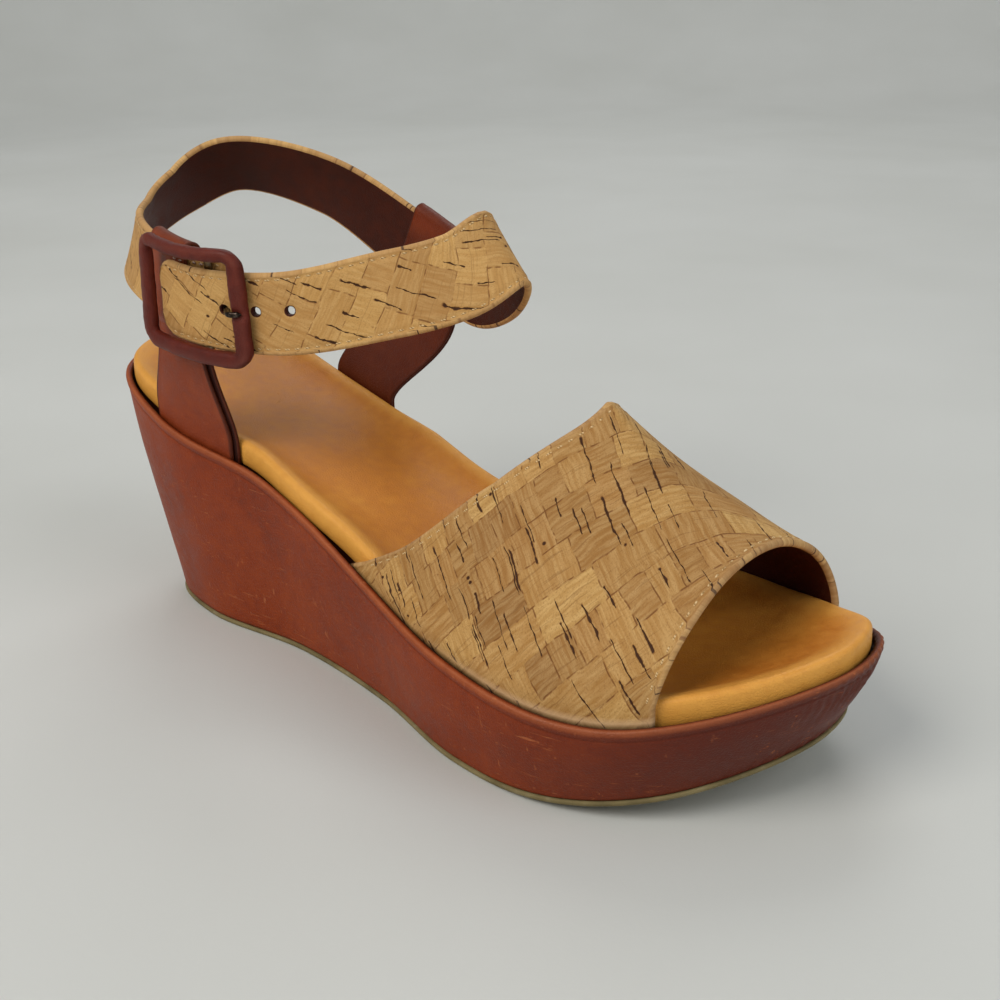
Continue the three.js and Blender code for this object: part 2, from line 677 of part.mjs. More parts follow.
function ankleStrap() {
  let body = toManifold(strapSheet()).subtract(toManifold(prongBody(CLEARANCE)));
  for (let k = 1; k <= FREE_HOLES; k += 1) {
    body = body.subtract(toManifold(holePunch(HOLE_FROM_MIDDLE + k * HOLE_PITCH)));
  }
  return fromManifold(body);
}

// Side tab: a leather strip folded double, sewn below the strap and tucked beside the footbed.
function sideTab(tab, width, side) {
  const middle = distanceAt(xAt(tab.loop), side);
  const forwards = side === "lateral" ? -1 : 1;
  const bandAt = (share) => middle + forwards * (share - 0.5) * width;
  const widthSteps = 5;
  const halfStrap = STRAP_WIDTH / 2 + CLEARANCE;
  const halfSlot = STRAP_WALL / 2 + CLEARANCE;
  const arcSteps = 4;

  // Stadium round the strap's section, grown by the leather's wall.
  const stadium = (grow) => {
    const points = [];
    for (const end of [1, -1]) {
      for (let k = 0; k <= arcSteps; k += 1) {
        const angle = (k / arcSteps) * Math.PI;
        points.push({
          height: end * (halfStrap + (halfSlot + grow) * Math.sin(angle)),
          depth: end * (halfSlot + grow) * Math.cos(angle),
        });
      }
    }
    return points;
  };
  const outerLoop = stadium(TAB_WALL);
  const innerLoop = stadium(0);
  const points = [];
  const triangles = [];
  const count = outerLoop.length;
  for (let i = 0; i <= widthSteps; i += 1) {
    for (const loop of [outerLoop, innerLoop]) {
      for (const p of loop) points.push(bandPoint(bandAt(i / widthSteps), p.height, p.depth));
    }
  }
  const at = (i, loop, k) => (i * 2 + loop) * count + (k % count);
  for (let k = 0; k < count; k += 1) {
    for (let i = 0; i < widthSteps; i += 1) {
      quad(triangles, at(i, 0, k), at(i, 0, k + 1), at(i + 1, 0, k + 1), at(i + 1, 0, k));
      quad(triangles, at(i, 1, k), at(i + 1, 1, k), at(i + 1, 1, k + 1), at(i, 1, k + 1));
    }
    quad(triangles, at(0, 0, k), at(0, 1, k), at(0, 1, k + 1), at(0, 0, k + 1));
    const e = widthSteps;
    quad(triangles, at(e, 0, k), at(e, 0, k + 1), at(e, 1, k + 1), at(e, 1, k));
  }
  const loopBody = solid(points, triangles);

  const heightSteps = 7;
  const grid = [];
  for (let i = 0; i <= widthSteps; i += 1) {
    const share = i / widthSteps;
    const x = xAt(lerp(tab.rear, tab.front, share));
    const foot = new THREE.Vector3(x, grooveSides[side](x), seatHeight(x) + CLEARANCE);
    const lift = new THREE.Vector3(0, 0, SKIRT);
    const top = bandPoint(bandAt(share), -halfStrap - halfSlot - TAB_WALL / 3, 0);
    const below = bandPoint(bandAt(share), -halfStrap - halfSlot - TAB_UPRIGHT * SKIRT, 0);
    const rising = foot.clone().addScaledVector(lift, TAB_UPRIGHT);
    const line = new THREE.CubicBezierCurve3(foot.clone().add(lift), rising, below, top);
    grid.push([foot, foot.clone().addScaledVector(lift, 0.5)]);
    for (let j = 0; j <= heightSteps; j += 1) grid[i].push(line.getPoint(j / heightSteps));
  }
  return fromManifold(toManifold(loopBody).add(toManifold(sheet(grid, 2 * TAB_WALL))));
}

// Buckle: a rectangular frame covered in leather, with a bare bar across for the prong.
function buckleFrame() {
  const squarer = (value) => Math.sign(value) * Math.abs(value) ** BUCKLE_SQUARENESS;
  const halfLength = BUCKLE_LENGTH / 2 - BUCKLE_BAR / 2;
  const halfHeight = STRAP_WIDTH / 2 + BUCKLE_WINDOW_SPARE + BUCKLE_BAR / 2;
  const radius = BUCKLE_CORNER - BUCKLE_BAR / 2;
  const cornerSteps = 4;
  const sideSteps = 4;
  const path = [];
  const corners = [
    [1, 1, 0],
    [-1, 1, Math.PI / 2],
    [-1, -1, Math.PI],
    [1, -1, 1.5 * Math.PI],
  ];
  for (const [right, upper, start] of corners) {
    for (let k = 0; k <= cornerSteps; k += 1) {
      const angle = start + (k / cornerSteps) * (Math.PI / 2);
      path.push({
        forward: right * (halfLength - radius) + radius * Math.cos(angle),
        height: upper * (halfHeight - radius) + radius * Math.sin(angle),
        nx: Math.cos(angle),
        ny: Math.sin(angle),
      });
    }
  }
  const full = [];
  path.forEach((point, i) => {
    full.push(point);
    const next = path[(i + 1) % path.length];
    if ((i + 1) % (cornerSteps + 1) === 0) {
      for (let k = 1; k < sideSteps; k += 1) {
        const s = k / sideSteps;
        full.push({
          forward: lerp(point.forward, next.forward, s),
          height: lerp(point.height, next.height, s),
          nx: point.nx,
          ny: point.ny,
        });
      }
    }
  });
  const sides = 8;
  const sections = full.map((point) =>
    Array.from({ length: sides }, (_, j) => {
      const angle = ((j + 0.5) / sides) * 2 * Math.PI;
      const across = (BUCKLE_BAR / 2) * squarer(Math.cos(angle));
      const depth = (BUCKLE_THICKNESS / 2) * squarer(Math.sin(angle));
      return bandPoint(
        fromBuckle(point.forward + point.nx * across),
        point.height + point.ny * across,
        FRAME_DEPTH + depth,
      );
    }),
  );
  const ring = toManifold(sweep(sections, true));

  const barDepth = STRAP_WALL / 2 + CLEARANCE + PIVOT_BAR_THICKNESS / 2;
  const edge = STRAP_WIDTH / 2 + CLEARANCE + PIVOT_BAR_THICKNESS / 2;
  const spine = [
    { height: -halfHeight, depth: FRAME_DEPTH },
    { height: -edge, depth: FRAME_DEPTH - BUCKLE_THICKNESS / 2 },
    { height: -edge, depth: barDepth },
    { height: 0, depth: barDepth },
    { height: edge, depth: barDepth },
    { height: edge, depth: FRAME_DEPTH - BUCKLE_THICKNESS / 2 },
    { height: halfHeight, depth: FRAME_DEPTH },
  ];
  const half = PIVOT_BAR_THICKNESS / 2;
  const barSections = spine.map((point, i) => {
    const before = spine[Math.max(i - 1, 0)];
    const after = spine[Math.min(i + 1, spine.length - 1)];
    const run = new THREE.Vector2(after.height - before.height, after.depth - before.depth).normalize();
    const corner = (along, out) =>
      bandPoint(
        fromBuckle(PIVOT_BAR_FROM_MIDDLE + (along * PIVOT_BAR_WIDTH) / 2),
        point.height - run.y * out * half,
        point.depth + run.x * out * half,
      );
    return [corner(-1, -1), corner(1, -1), corner(1, 1), corner(-1, 1)];
  });
  const bar = toManifold(sweep(barSections, false));
  return fromManifold(ring.add(bar).subtract(toManifold(prongBody(CLEARANCE))));
}

const LEATHER = { color: 0x6f3322, roughness: 0.55, metalness: 0 };
const CORK = { color: 0xb8905a, roughness: 0.8, metalness: 0 };
const pieces = [
  ["outsole", outsole(), { color: 0x8a7a50, roughness: 0.85, metalness: 0 }],
  ["wedge", wedge(), LEATHER],
  ["footbed", footbed(), { color: 0xc08238, roughness: 0.45, metalness: 0 }],
  ["vamp", vamp(), CORK],
  ["ankle_strap", ankleStrap(), CORK],
  ["tab_lateral", sideTab(LATERAL_TAB, LATERAL_TAB_WIDTH, "lateral"), LEATHER],
  ["tab_medial", sideTab(MEDIAL_TAB, MEDIAL_TAB_WIDTH, "medial"), LEATHER],
  ["buckle_frame", buckleFrame(), { color: 0x4a2620, roughness: 0.4, metalness: 0 }],
  ["buckle_prong", prongBody(0), { color: 0x3a3431, roughness: 0.3, metalness: 1 }],
];

const sandal = new THREE.Group();
for (const [name, geometry, look] of pieces) {
  const mesh = new THREE.Mesh(geometry, new THREE.MeshStandardMaterial(look));
  mesh.name = name;
  sandal.add(mesh);
}

export default sandal;
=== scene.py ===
import math

import bpy
import numpy as np
from mathutils import Matrix, Vector, noise


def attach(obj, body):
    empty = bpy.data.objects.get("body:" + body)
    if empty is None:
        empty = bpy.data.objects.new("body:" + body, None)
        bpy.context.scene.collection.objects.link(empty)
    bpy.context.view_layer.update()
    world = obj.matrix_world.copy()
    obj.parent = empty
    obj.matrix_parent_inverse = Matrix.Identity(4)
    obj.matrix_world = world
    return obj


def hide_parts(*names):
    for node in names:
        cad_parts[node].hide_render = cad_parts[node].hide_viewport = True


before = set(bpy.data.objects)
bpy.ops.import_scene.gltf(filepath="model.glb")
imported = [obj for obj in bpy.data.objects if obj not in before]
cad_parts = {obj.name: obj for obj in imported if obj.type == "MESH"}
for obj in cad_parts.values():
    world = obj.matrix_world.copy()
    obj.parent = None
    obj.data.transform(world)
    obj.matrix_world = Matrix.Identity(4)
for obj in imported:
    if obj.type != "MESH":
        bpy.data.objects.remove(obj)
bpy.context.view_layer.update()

# Every shape is worked out in millimetres and written to its mesh in metres.
MM = 0.001

# Camera of the photograph, in the row frame: metres, unit vectors and pixels of 1000.
CAMERA_AT = Vector((0.3057, -0.2499, 0.1817))
CAMERA_RIGHT = Vector((0.8259, 0.5634, 0.0213))
CAMERA_FORWARD = Vector((-0.5394, 0.8005, -0.2612))
PHOTO_FOCAL = 796.3
SHOE_CENTRE = (-86.0, -93.0)
FRAMED_FOCAL = 1330.0
FRAME_PIXELS = 1000.0
SENSOR = 36.0

# Sole
SHOE_LENGTH = 240.0
BALL_WIDTH = 90.0
TREAD_LENGTH = 220.0
TREAD_WIDTH = 85.0
HEEL_HEIGHT = 74.0
PLATFORM_HEIGHT = 27.0
TOE_SPRING = 14.0
HEEL_TREAD_FROM_BACK = 42.0
BALL_LINE_FROM_BACK = 165.0
OUTSOLE_SHOWN = 1.5
OUTSOLE_LIP = 0.4
TREAD_EDGE = 0.9
RIM_WALL = 1.4
RIM_BEAD_DROP = 1.6
SEAT_DEPTH = 2.5
SIDE_SWELL = 0.9
WEDGE_FOOT = 0.5
FOOTBED_RISE = 5.0
FOOTBED_GROOVE = 0.8
FOOTBED_EDGE_RADIUS = 1.8
FOOTBED_FOOT = 0.8
TUCK_START = 1.0
TUCK_END = 24.0
FOOTBED_DISH = 3.0
DISH_WIDTH = 24.0

# Upper
VAMP_WALL = 2.0
VAMP_RISE = 53.0
STRAP_WALL = 2.0
STRAP_WIDTH = 22.0
ANKLE_LENGTH = 132.0
ANKLE_WIDTH = 79.0
ANKLE_FROM_BACK = 67.0
ANKLE_OFFSET = 1.8
STRAP_HEIGHT = 111.0
STRAP_SWAY = 16.0
TAB_WALL = 1.0
TAB_UPRIGHT = 2.0
CLEARANCE = 0.3
BUCKLE_LENGTH = 36.0
BUCKLE_WINDOW_SPARE = 0.5
BUCKLE_BAR = 4.4
BUCKLE_THICKNESS = 3.2
BUCKLE_CORNER = 5.5
BUCKLE_ALONG = 0.283
PIVOT_BAR_WIDTH = 2.6
PIVOT_BAR_THICKNESS = 1.1
PIVOT_BAR_FROM_MIDDLE = 4.0
PRONG_WIDTH = 2.0
PRONG_THICKNESS = 1.6
HOLE_FROM_MIDDLE = 10.0
HOLE_PITCH = 9.0
FREE_HOLES = 2
HOLE_RADIUS = 1.2
STRAP_RISEN = 5.0
STRAP_LEVEL = 36.0

# Outlines, a row a station: along as a share of the length, across as a share of the width.
RIM_OUTLINE = {
    "heel": (0, 0.03),
    "lateral": [
        (0.033, -0.269), (0.145, -0.383), (0.33, -0.383), (0.499, -0.451),
        (0.655, -0.547), (0.786, -0.555), (0.899, -0.427), (0.975, -0.188),
    ],
    "toe": (1, 0.0),
    "medial": [
        (0.035, 0.282), (0.149, 0.356), (0.338, 0.288), (0.498, 0.291),
        (0.67, 0.412), (0.825, 0.44), (0.947, 0.287), (0.987, 0.185),
    ],
}
TREAD_OUTLINE = {
    "heel": (0.055, 0.03),
    "lateral": [
        (0.088, -0.235), (0.2, -0.345), (0.378, -0.332), (0.553, -0.404),
        (0.712, -0.525), (0.848, -0.53), (0.957, -0.408), (1.03, -0.18),
    ],
    "toe": (1.054, 0.005),
    "medial": [
        (0.09, 0.272), (0.2, 0.335), (0.38, 0.268), (0.542, 0.295),
        (0.727, 0.43), (0.885, 0.462), (1.008, 0.31), (1.043, 0.195),
    ],
}
RIM_HEIGHTS = [
    (0, 1), (0.1, 0.83), (0.2, 0.69), (0.31, 0.585), (0.417, 0.425), (0.521, 0.24),
    (0.625, 0.11), (0.729, 0.025), (0.833, 0), (0.917, 0.085), (1, 0.2),
]
# Along, rise, swell and lean of the last over the footbed.
LAST_SECTIONS = [
    (0.45, 1.5, 1.7, 0.02), (0.6, 1.24, 1.7, 0.03), (0.708, 1, 1.6, 0.03),
    (0.8, 0.7, 1.25, 0.03), (0.888, 0.44, 1, 0.02), (0.93, 0.38, 0.95, 0.02),
]
# Turn over the foot, then the back and front edges of the toe strap.
VAMP_EDGES = [
    (0, 0.49, 0.878), (0.12, 0.573, 0.883), (0.25, 0.652, 0.887), (0.38, 0.704, 0.888),
    (0.5, 0.713, 0.889), (0.62, 0.7, 0.892), (0.75, 0.645, 0.899), (0.88, 0.56, 0.907),
    (1, 0.467, 0.917),
]
# Along, across, height and lean of the ankle loop, a row for every thirty degrees.
ANKLE_STATIONS = [
    (0.98, 0.13, 0.3, 37), (0.92, -0.19, -0.03, 22), (0.57, -0.69, -0.4, 5),
    (0.04, -1, -0.46, -5), (-0.56, -0.82, -0.19, 9), (-0.95, -0.31, 0.02, 25),
    (-0.97, 0.08, 0.5, 35), (-0.83, 0.43, 0.98, 37), (-0.45, 0.84, 0.58, 23),
    (0.04, 0.99, -0.48, -2), (0.5, 0.78, -0.9, -6), (0.86, 0.41, -0.28, 14),
]
# Places along the shoe of a tab's foot and of its loop, its width, and how far its inner layer shows.
LATERAL_TAB = {
    "side": "lateral", "rear": 0.137, "front": 0.272, "loop": 0.227, "width": 18.5, "proud": 1.6,
}
MEDIAL_TAB = {
    "side": "medial", "rear": 0.185, "front": 0.3, "loop": 0.325, "width": 26.0, "proud": 0.4,
}


def lerp(a, b, share):
    return a + (b - a) * share


def smooth(value, low, high):
    s = np.clip((np.asarray(value, float) - low) / (high - low), 0, 1)
    return s * s * (3 - 2 * s)


def hump(value, middle, reach):
    return np.exp(-(((np.asarray(value, float) - middle) / reach) ** 2))


def curve_through(xs, ys):
    """Smooth curve through a table's points, level with it beyond its ends."""
    xs, ys = np.asarray(xs, float), np.asarray(ys, float)
    last = len(xs) - 1
    before, after = np.maximum(np.arange(last + 1) - 1, 0), np.minimum(np.arange(last + 1) + 1, last)
    slopes = (ys[after] - ys[before]) / (xs[after] - xs[before])

    def at(value):
        value = np.asarray(value, float)
        k = np.clip(np.searchsorted(xs, value) - 1, 0, last - 1)
        span = xs[k + 1] - xs[k]
        s = np.clip((value - xs[k]) / span, 0, 1)
        bent = s * (1 - s) ** 2 * span * slopes[k] + s * s * (s - 1) * span * slopes[k + 1]
        return lerp(ys[k], ys[k + 1], s * s * (3 - 2 * s)) + bent

    return at


def closed_curve(points, shares):
    """Centripetal Catmull-Rom curve through a closed row of points."""
    points = np.asarray(points, float)
    count = len(points)
    place = (np.asarray(shares, float) % 1.0) * count
    k = np.floor(place).astype(int)
    w = (place - k)[:, None]
    p0, p1, p2, p3 = (points[(k + step) % count] for step in (-1, 0, 1, 2))
    d0, d1, d2 = (
        np.sqrt(np.linalg.norm(b - a, axis=1))[:, None] for a, b in ((p0, p1), (p1, p2), (p2, p3))
    )
    t1 = ((p1 - p0) / d0 - (p2 - p0) / (d0 + d1) + (p2 - p1) / d1) * d1
    t2 = ((p2 - p1) / d1 - (p3 - p1) / (d1 + d2) + (p3 - p2) / d2) * d1
    return p1 + t1 * w + (-3 * p1 + 3 * p2 - 2 * t1 - t2) * w**2 + (2 * p1 - 2 * p2 + t1 + t2) * w**3


def unit(vectors):
    return vectors / np.maximum(np.linalg.norm(vectors, axis=-1, keepdims=True), 1e-12)


def x_at(along):
    return np.asarray(along, float) * SHOE_LENGTH - HEEL_TREAD_FROM_BACK


def along_at(x):
    return (np.asarray(x, float) + HEEL_TREAD_FROM_BACK) / SHOE_LENGTH


rim_share = curve_through(*zip(*RIM_HEIGHTS))


def rim_height(x):
    return lerp(PLATFORM_HEIGHT, HEEL_HEIGHT, rim_share(along_at(x)))


def seat_height(x):
    return rim_height(x) - SEAT_DEPTH


def tread_height(x):
    ball = BALL_LINE_FROM_BACK - HEEL_TREAD_FROM_BACK
    tip = x_at(0) + TREAD_OUTLINE["toe"][0] * TREAD_LENGTH
    return TOE_SPRING * np.maximum(0, (x - ball) / (tip - ball)) ** 2


def outline(table, length, width, steps):
    rows = [table["heel"], *table["lateral"], table["toe"], *table["medial"][::-1]]
    controls = np.array(rows, float) * (length, width) + (x_at(0), 0)
    count = len(controls) * steps
    return closed_curve(controls, np.arange(count) / count)


def inset(points, depth):
    along = unit(np.roll(points, -1, 0) - np.roll(points, 1, 0))
    inward = np.stack([-along[:, 1], along[:, 0]], 1)
    return points + inward * np.broadcast_to(depth, len(points))[:, None]


def facing(points):
    return np.roll(points[::-1], 1, 0)


def shrink(points, share):
    """The outline drawn in by a share of the way to the line down its middle."""
    heel = points[0, 0] + BALL_WIDTH / 2
    toe = points[len(points) // 2, 0] - BALL_WIDTH / 2
    middle = (points + facing(points)) / 2
    middle[:, 0] = np.clip(points[:, 0], heel, toe)
    return lerp(points, middle, share)


def at_height(points, height):
    return np.column_stack([points, np.broadcast_to(height, len(points))])


STEPS = 26
rim = outline(RIM_OUTLINE, SHOE_LENGTH, BALL_WIDTH, STEPS)
tread = outline(TREAD_OUTLINE, TREAD_LENGTH, TREAD_WIDTH, STEPS)
ROUND = len(rim)
STRAP_SEAT = max(VAMP_WALL, 2 * TAB_WALL)
SEAT_MIDDLE = RIM_WALL + CLEARANCE + STRAP_SEAT / 2
SKIRT = SEAT_DEPTH + FOOTBED_RISE - 1


def tucked_share(points):
    """One where a strap or a tab is tucked in beside the footbed, falling to zero past it."""
    shares = np.zeros(len(points))
    for tab, foot, outer in ((LATERAL_TAB, VAMP_EDGES[0], True), (MEDIAL_TAB, VAMP_EDGES[-1], False)):
        side = (points[:, 1] < 0) == outer
        for start, end in ((foot[1], foot[2]), (tab["rear"], tab["front"])):
            out = np.maximum(x_at(start) - points[:, 0], points[:, 0] - x_at(end))
            share = 1 - smooth(out, TUCK_START, TUCK_END)
            shares = np.maximum(shares, np.where(side, share, 0))
    return shares


def footbed_edge(more):
    room = lerp(FOOTBED_GROOVE, STRAP_SEAT + 2 * CLEARANCE, tucked_share(rim))
    return inset(rim, RIM_WALL + more + room)


def ripple(points, scale, seed):
    """Smooth noise at each point, from minus one to one. Scale is in cycles a millimetre."""
    shift = Vector((seed * 7.3, seed * 3.1, seed * 5.7))
    return np.array([noise.noise(Vector(p) * scale + shift) for p in points])


def central_steps(grid):
    """From the row before to the row after each one, one sided at both ends."""
    return np.concatenate([grid[1:], grid[-1:]]) - np.concatenate([grid[:1], grid[:-1]])


def grid_normals(grid):
    over = central_steps(grid.swapaxes(0, 1)).swapaxes(0, 1)
    return unit(np.cross(central_steps(grid), over))


def reaches(points):
    """The distance along a row of points to each of them."""
    return np.concatenate([[0], np.cumsum(np.linalg.norm(np.diff(points, axis=0), axis=1))])


def between(at, places, table):
    """A table of vectors, read between its places."""
    return np.stack([np.interp(at, places, table[:, c]) for c in range(3)], -1)


def row_on(surface, places, height, depth):
    """A line on a surface, and the direction outwards along it."""
    line = surface(places, height, depth)
    return line, surface(places, height, depth + 1) - line


def arc_lengths(grid, axis):
    steps = np.linalg.norm(np.diff(grid, axis=axis), axis=2)
    zero = np.zeros_like(np.take(steps, [0], axis=axis))
    return np.cumsum(np.concatenate([zero, steps], axis=axis), axis=axis)


collection = bpy.context.scene.collection


def triple(a, b=0.0, c=0.0):
    """Three numbers for each point, as the vectors of an attribute."""
    return np.stack(np.broadcast_arrays(a, b, c), -1).reshape(-1, 3)


def make(name, points, faces, materials, replaced=(), layers=None, kinds=None):
    """A piece of the shoe from points in millimetres, smooth, riding on the one body.

    The kinds of a sheet's faces give its inner side the second material.
    """
    mesh = bpy.data.meshes.new(name)
    mesh.from_pydata((np.asarray(points, float) * MM).tolist(), [], [list(map(int, f)) for f in faces])
    for key, values in (layers or {}).items():
        layer = mesh.attributes.new(key, "FLOAT_VECTOR", "POINT")
        layer.data.foreach_set("vector", np.asarray(values, np.float32).ravel())
    for material in materials:
        mesh.materials.append(material)
    mesh.polygons.foreach_set("use_smooth", [True] * len(mesh.polygons))
    if kinds is not None:
        mesh.polygons.foreach_set("material_index", [int(kind == 1) for kind in kinds])
    mesh.update()
    piece = bpy.data.objects.new(name, mesh)
    collection.objects.link(piece)
    turn_outwards(piece)
    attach(piece, "root")
    if replaced:
        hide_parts(*replaced)
    return piece


def turn_outwards(piece):
    """Flips the faces of a closed mesh where its signed volume is negative."""
    mesh = piece.data
    mesh.calc_loop_triangles()
    corners = np.array([[mesh.vertices[v].co[:] for v in t.vertices] for t in mesh.loop_triangles])
    volume = np.einsum("ij,ij->i", corners[:, 0], np.cross(corners[:, 1], corners[:, 2])).sum()
    if volume < 0:
        mesh.flip_normals()


def joined(lower, upper):
    """The faces between two closed rows of point numbers."""
    return list(zip(lower, np.roll(lower, -1), np.roll(upper, -1), upper))


def loft(rings):
    """Points and faces of a body through a stack of rings, closed by rungs at both ends."""
    count = len(rings[0])
    rows = np.arange(len(rings) * count).reshape(-1, count)
    faces = [face for lower, upper in zip(rows, rows[1:]) for face in joined(lower, upper)]
    for row, way in ((rows[0], -1), (rows[-1], 1)):
        for i in range(count // 2):
            rung = list(dict.fromkeys((i, i + 1, count - i - 1, (count - i) % count)))
            faces.append(row[rung][::way])
    return np.concatenate(rings), faces


def sweep(sections, closed=False):
    """Points and faces of a body through closed sections, capped at its ends if it is open."""
    rows = np.arange(len(sections) * len(sections[0])).reshape(len(sections), -1)
    after = [*rows[1:], rows[0]] if closed else rows[1:]
    faces = [face for lower, upper in zip(rows, after) for face in joined(lower, upper)]
    if not closed:
        faces += [rows[0][::-1], rows[-1]]
    return np.concatenate(sections), faces


EDGE_ANGLES = np.radians((60, 30, 0, -30, -60))


def thick_sheet(grid, wall, relief):
    """A sheet with round edges from a grid on its middle surface.

    Gives points, faces, a number for each face (0 outer side, 1 inner side, 2 edge) and for
    each point the grid place that it came from. Relief is added to the outer side's height.
    """
    rows, columns = grid.shape[:2]
    normals = grid_normals(grid)
    out = np.zeros_like(grid)
    out[0] += unit(grid[0] - grid[1])
    out[-1] += unit(grid[-1] - grid[-2])
    out[:, 0] += unit(grid[:, 0] - grid[:, 1])
    out[:, -1] += unit(grid[:, -1] - grid[:, -2])
    radius = wall / 2
    centre = grid - out * radius
    rise = (radius + relief)[..., None]
    number = np.arange(rows * columns).reshape(rows, columns)
    outer, inner = centre + normals * rise, centre - normals * radius
    points = [outer.reshape(-1, 3), inner.reshape(-1, 3)]
    source = [number.ravel(), number.ravel()]
    faces, kinds = [], []
    low = rows * columns
    for i in range(rows - 1):
        for j in range(columns - 1):
            a, b, c, d = number[i, j], number[i + 1, j], number[i + 1, j + 1], number[i, j + 1]
            faces += [(a, b, c, d), (low + a, low + d, low + c, low + b)]
            kinds += [0, 1]
    border = [(i, 0) for i in range(rows - 1)] + [(rows - 1, j) for j in range(columns - 1)]
    border += [(i, columns - 1) for i in range(rows - 1, 0, -1)]
    border += [(0, j) for j in range(columns - 1, 0, -1)]
    at = tuple(np.array(border).T)
    strips = [number[at]]
    start = 2 * low
    for angle in EDGE_ANGLES:
        up = normals[at] * (math.sin(angle) * radius)
        points.append(centre[at] + up + out[at] * (math.cos(angle) * radius))
        source.append(number[at])
        strips.append(np.arange(start, start + len(border)))
        start += len(border)
    strips.append(low + number[at])
    for upper, lower in zip(strips, strips[1:]):
        for k in range(len(border)):
            n = (k + 1) % len(border)
            faces.append((upper[k], lower[k], lower[n], upper[n]))
            kinds.append(2)
    return np.concatenate(points), faces, kinds, np.concatenate(source)


def graded(length, first, fine, margin, steps):
    """Places from 0 to length, close together within a margin of both ends.

    The first step leaves room for a sheet's round edge, which is drawn in by half its wall.
    """
    near = np.concatenate([[0], np.arange(first, margin, fine)])
    inside = np.linspace(margin, length - margin, steps + 1)
    return np.concatenate([near, inside, length - near[::-1]])


def rgb(code):
    """Linear colour from a hex code of screen colour."""
    values = [int(code[i:i + 2], 16) / 255 for i in (0, 2, 4)]
    linear = [v / 12.92 if v <= 0.04045 else ((v + 0.055) / 1.055) ** 2.4 for v in values]
    return (*linear, 1.0)


class Surface:
    """A material's node tree, with a method for each kind of sum it needs."""

    def __init__(self, name, **constants):
        self.material = bpy.data.materials.new(name)
        self.material.use_nodes = True
        self.tree = self.material.node_tree
        self.shader = next(n for n in self.tree.nodes if n.type == "BSDF_PRINCIPLED")
        for key, value in constants.items():
            self.shader.inputs[key.replace("_", " ")].default_value = value

    def node(self, kind, inputs=(), **settings):
        made = self.tree.nodes.new(kind)
        for key, value in settings.items():
            setattr(made, key, value)
        for key, value in dict(inputs).items():
            self.put(value, made.inputs[key])
        return made

    def put(self, value, socket):
        if isinstance(value, bpy.types.NodeSocket):
            self.tree.links.new(value, socket)
        else:
            socket.default_value = value

    def math(self, operation, *values):
        return self.node("ShaderNodeMath", enumerate(values), operation=operation).outputs[0]

    def add(self, a, b):
        return self.math("ADD", a, b)

    def times(self, a, b):
        return self.math("MULTIPLY", a, b)

    def vector(self, x, y, z=0.0):
        return self.node("ShaderNodeCombineXYZ", {0: x, 1: y, 2: z}).outputs[0]

    def split(self, vector):
        return self.node("ShaderNodeSeparateXYZ", {0: vector}).outputs[:]

    def layer(self, name):
        return self.node("ShaderNodeAttribute", attribute_name=name).outputs["Vector"]

    def place(self):
        """The point on the shoe in millimetres."""
        at = self.node("ShaderNodeTexCoord").outputs["Object"]
        return self.node("ShaderNodeVectorMath", {0: at, 3: 1 / MM}, operation="SCALE").outputs[0]

    def stretch(self, vector, x, y, z):
        inputs = {0: vector, 1: (x, y, z)}
        return self.node("ShaderNodeVectorMath", inputs, operation="MULTIPLY").outputs[0]

    def noise(self, vector, scale, detail=3.0, roughness=0.55):
        inputs = {"Vector": vector, "Scale": scale, "Detail": detail, "Roughness": roughness}
        return self.node("ShaderNodeTexNoise", inputs).outputs["Fac"]

    def random(self, vector):
        node = self.node("ShaderNodeTexWhiteNoise", {"Vector": vector}, noise_dimensions="3D")
        return node.outputs["Color"]

    def pores(self, vector, scale):
        inputs = {"Vector": vector, "Scale": scale}
        return self.node("ShaderNodeTexVoronoi", inputs, feature="DISTANCE_TO_EDGE").outputs["Distance"]

    def cells(self, vector, scale):
        return self.node("ShaderNodeTexVoronoi", {"Vector": vector, "Scale": scale}).outputs

    def step(self, value, low, high, start=0.0, end=1.0):
        inputs = {0: value, 1: low, 2: high, 3: start, 4: end}
        return self.node("ShaderNodeMapRange", inputs, interpolation_type="SMOOTHSTEP").outputs[0]

    def ramp(self, fac, *stops):
        node = self.node("ShaderNodeValToRGB", {0: fac})
        elements = node.color_ramp.elements
        while len(elements) < len(stops):
            elements.new(0.5)
        for element, (at, code) in zip(elements, stops):
            element.position = at
            element.color = rgb(code)
        return node.outputs[0]

    def mix(self, fac, a, b, blend="MIX"):
        node = self.node("ShaderNodeMix", data_type="RGBA", blend_type=blend)
        self.put(fac, node.inputs[0])
        self.put(rgb(a) if isinstance(a, str) else a, node.inputs[6])
        self.put(rgb(b) if isinstance(b, str) else b, node.inputs[7])
        return node.outputs[2]

    def bump(self, height, depth, under=None):
        """Relief of a depth in millimetres, on top of another one."""
        inputs = {"Height": height, "Distance": depth * MM}
        if under is not None:
            inputs["Normal"] = under
        return self.node("ShaderNodeBump", inputs).outputs[0]

    def finish(self, colour, roughness, normal):
        for key, value in (("Base Color", colour), ("Roughness", roughness), ("Normal", normal)):
            self.put(value, self.shader.inputs[key])
        return self.material


def patches(s, u, v, height, narrow, wide, seed):
    """Rows of patches of uneven width: each one's random colour and the place inside it."""
    row = s.math("FLOOR", s.times(v, 1 / height))
    row_random = s.split(s.random(s.vector(row, seed)))[0]
    width = s.add(s.times(row_random, wide - narrow), narrow)
    shifted = s.add(s.math("DIVIDE", u, width), s.times(row_random, 57.3))
    cell = s.random(s.vector(row, s.math("FLOOR", shifted), seed + 0.5))
    inside_u = s.times(s.math("FRACT", shifted), width)
    inside_v = s.times(s.math("FRACT", s.times(v, 1 / height)), height)
    return s.split(cell), inside_u, inside_v, width


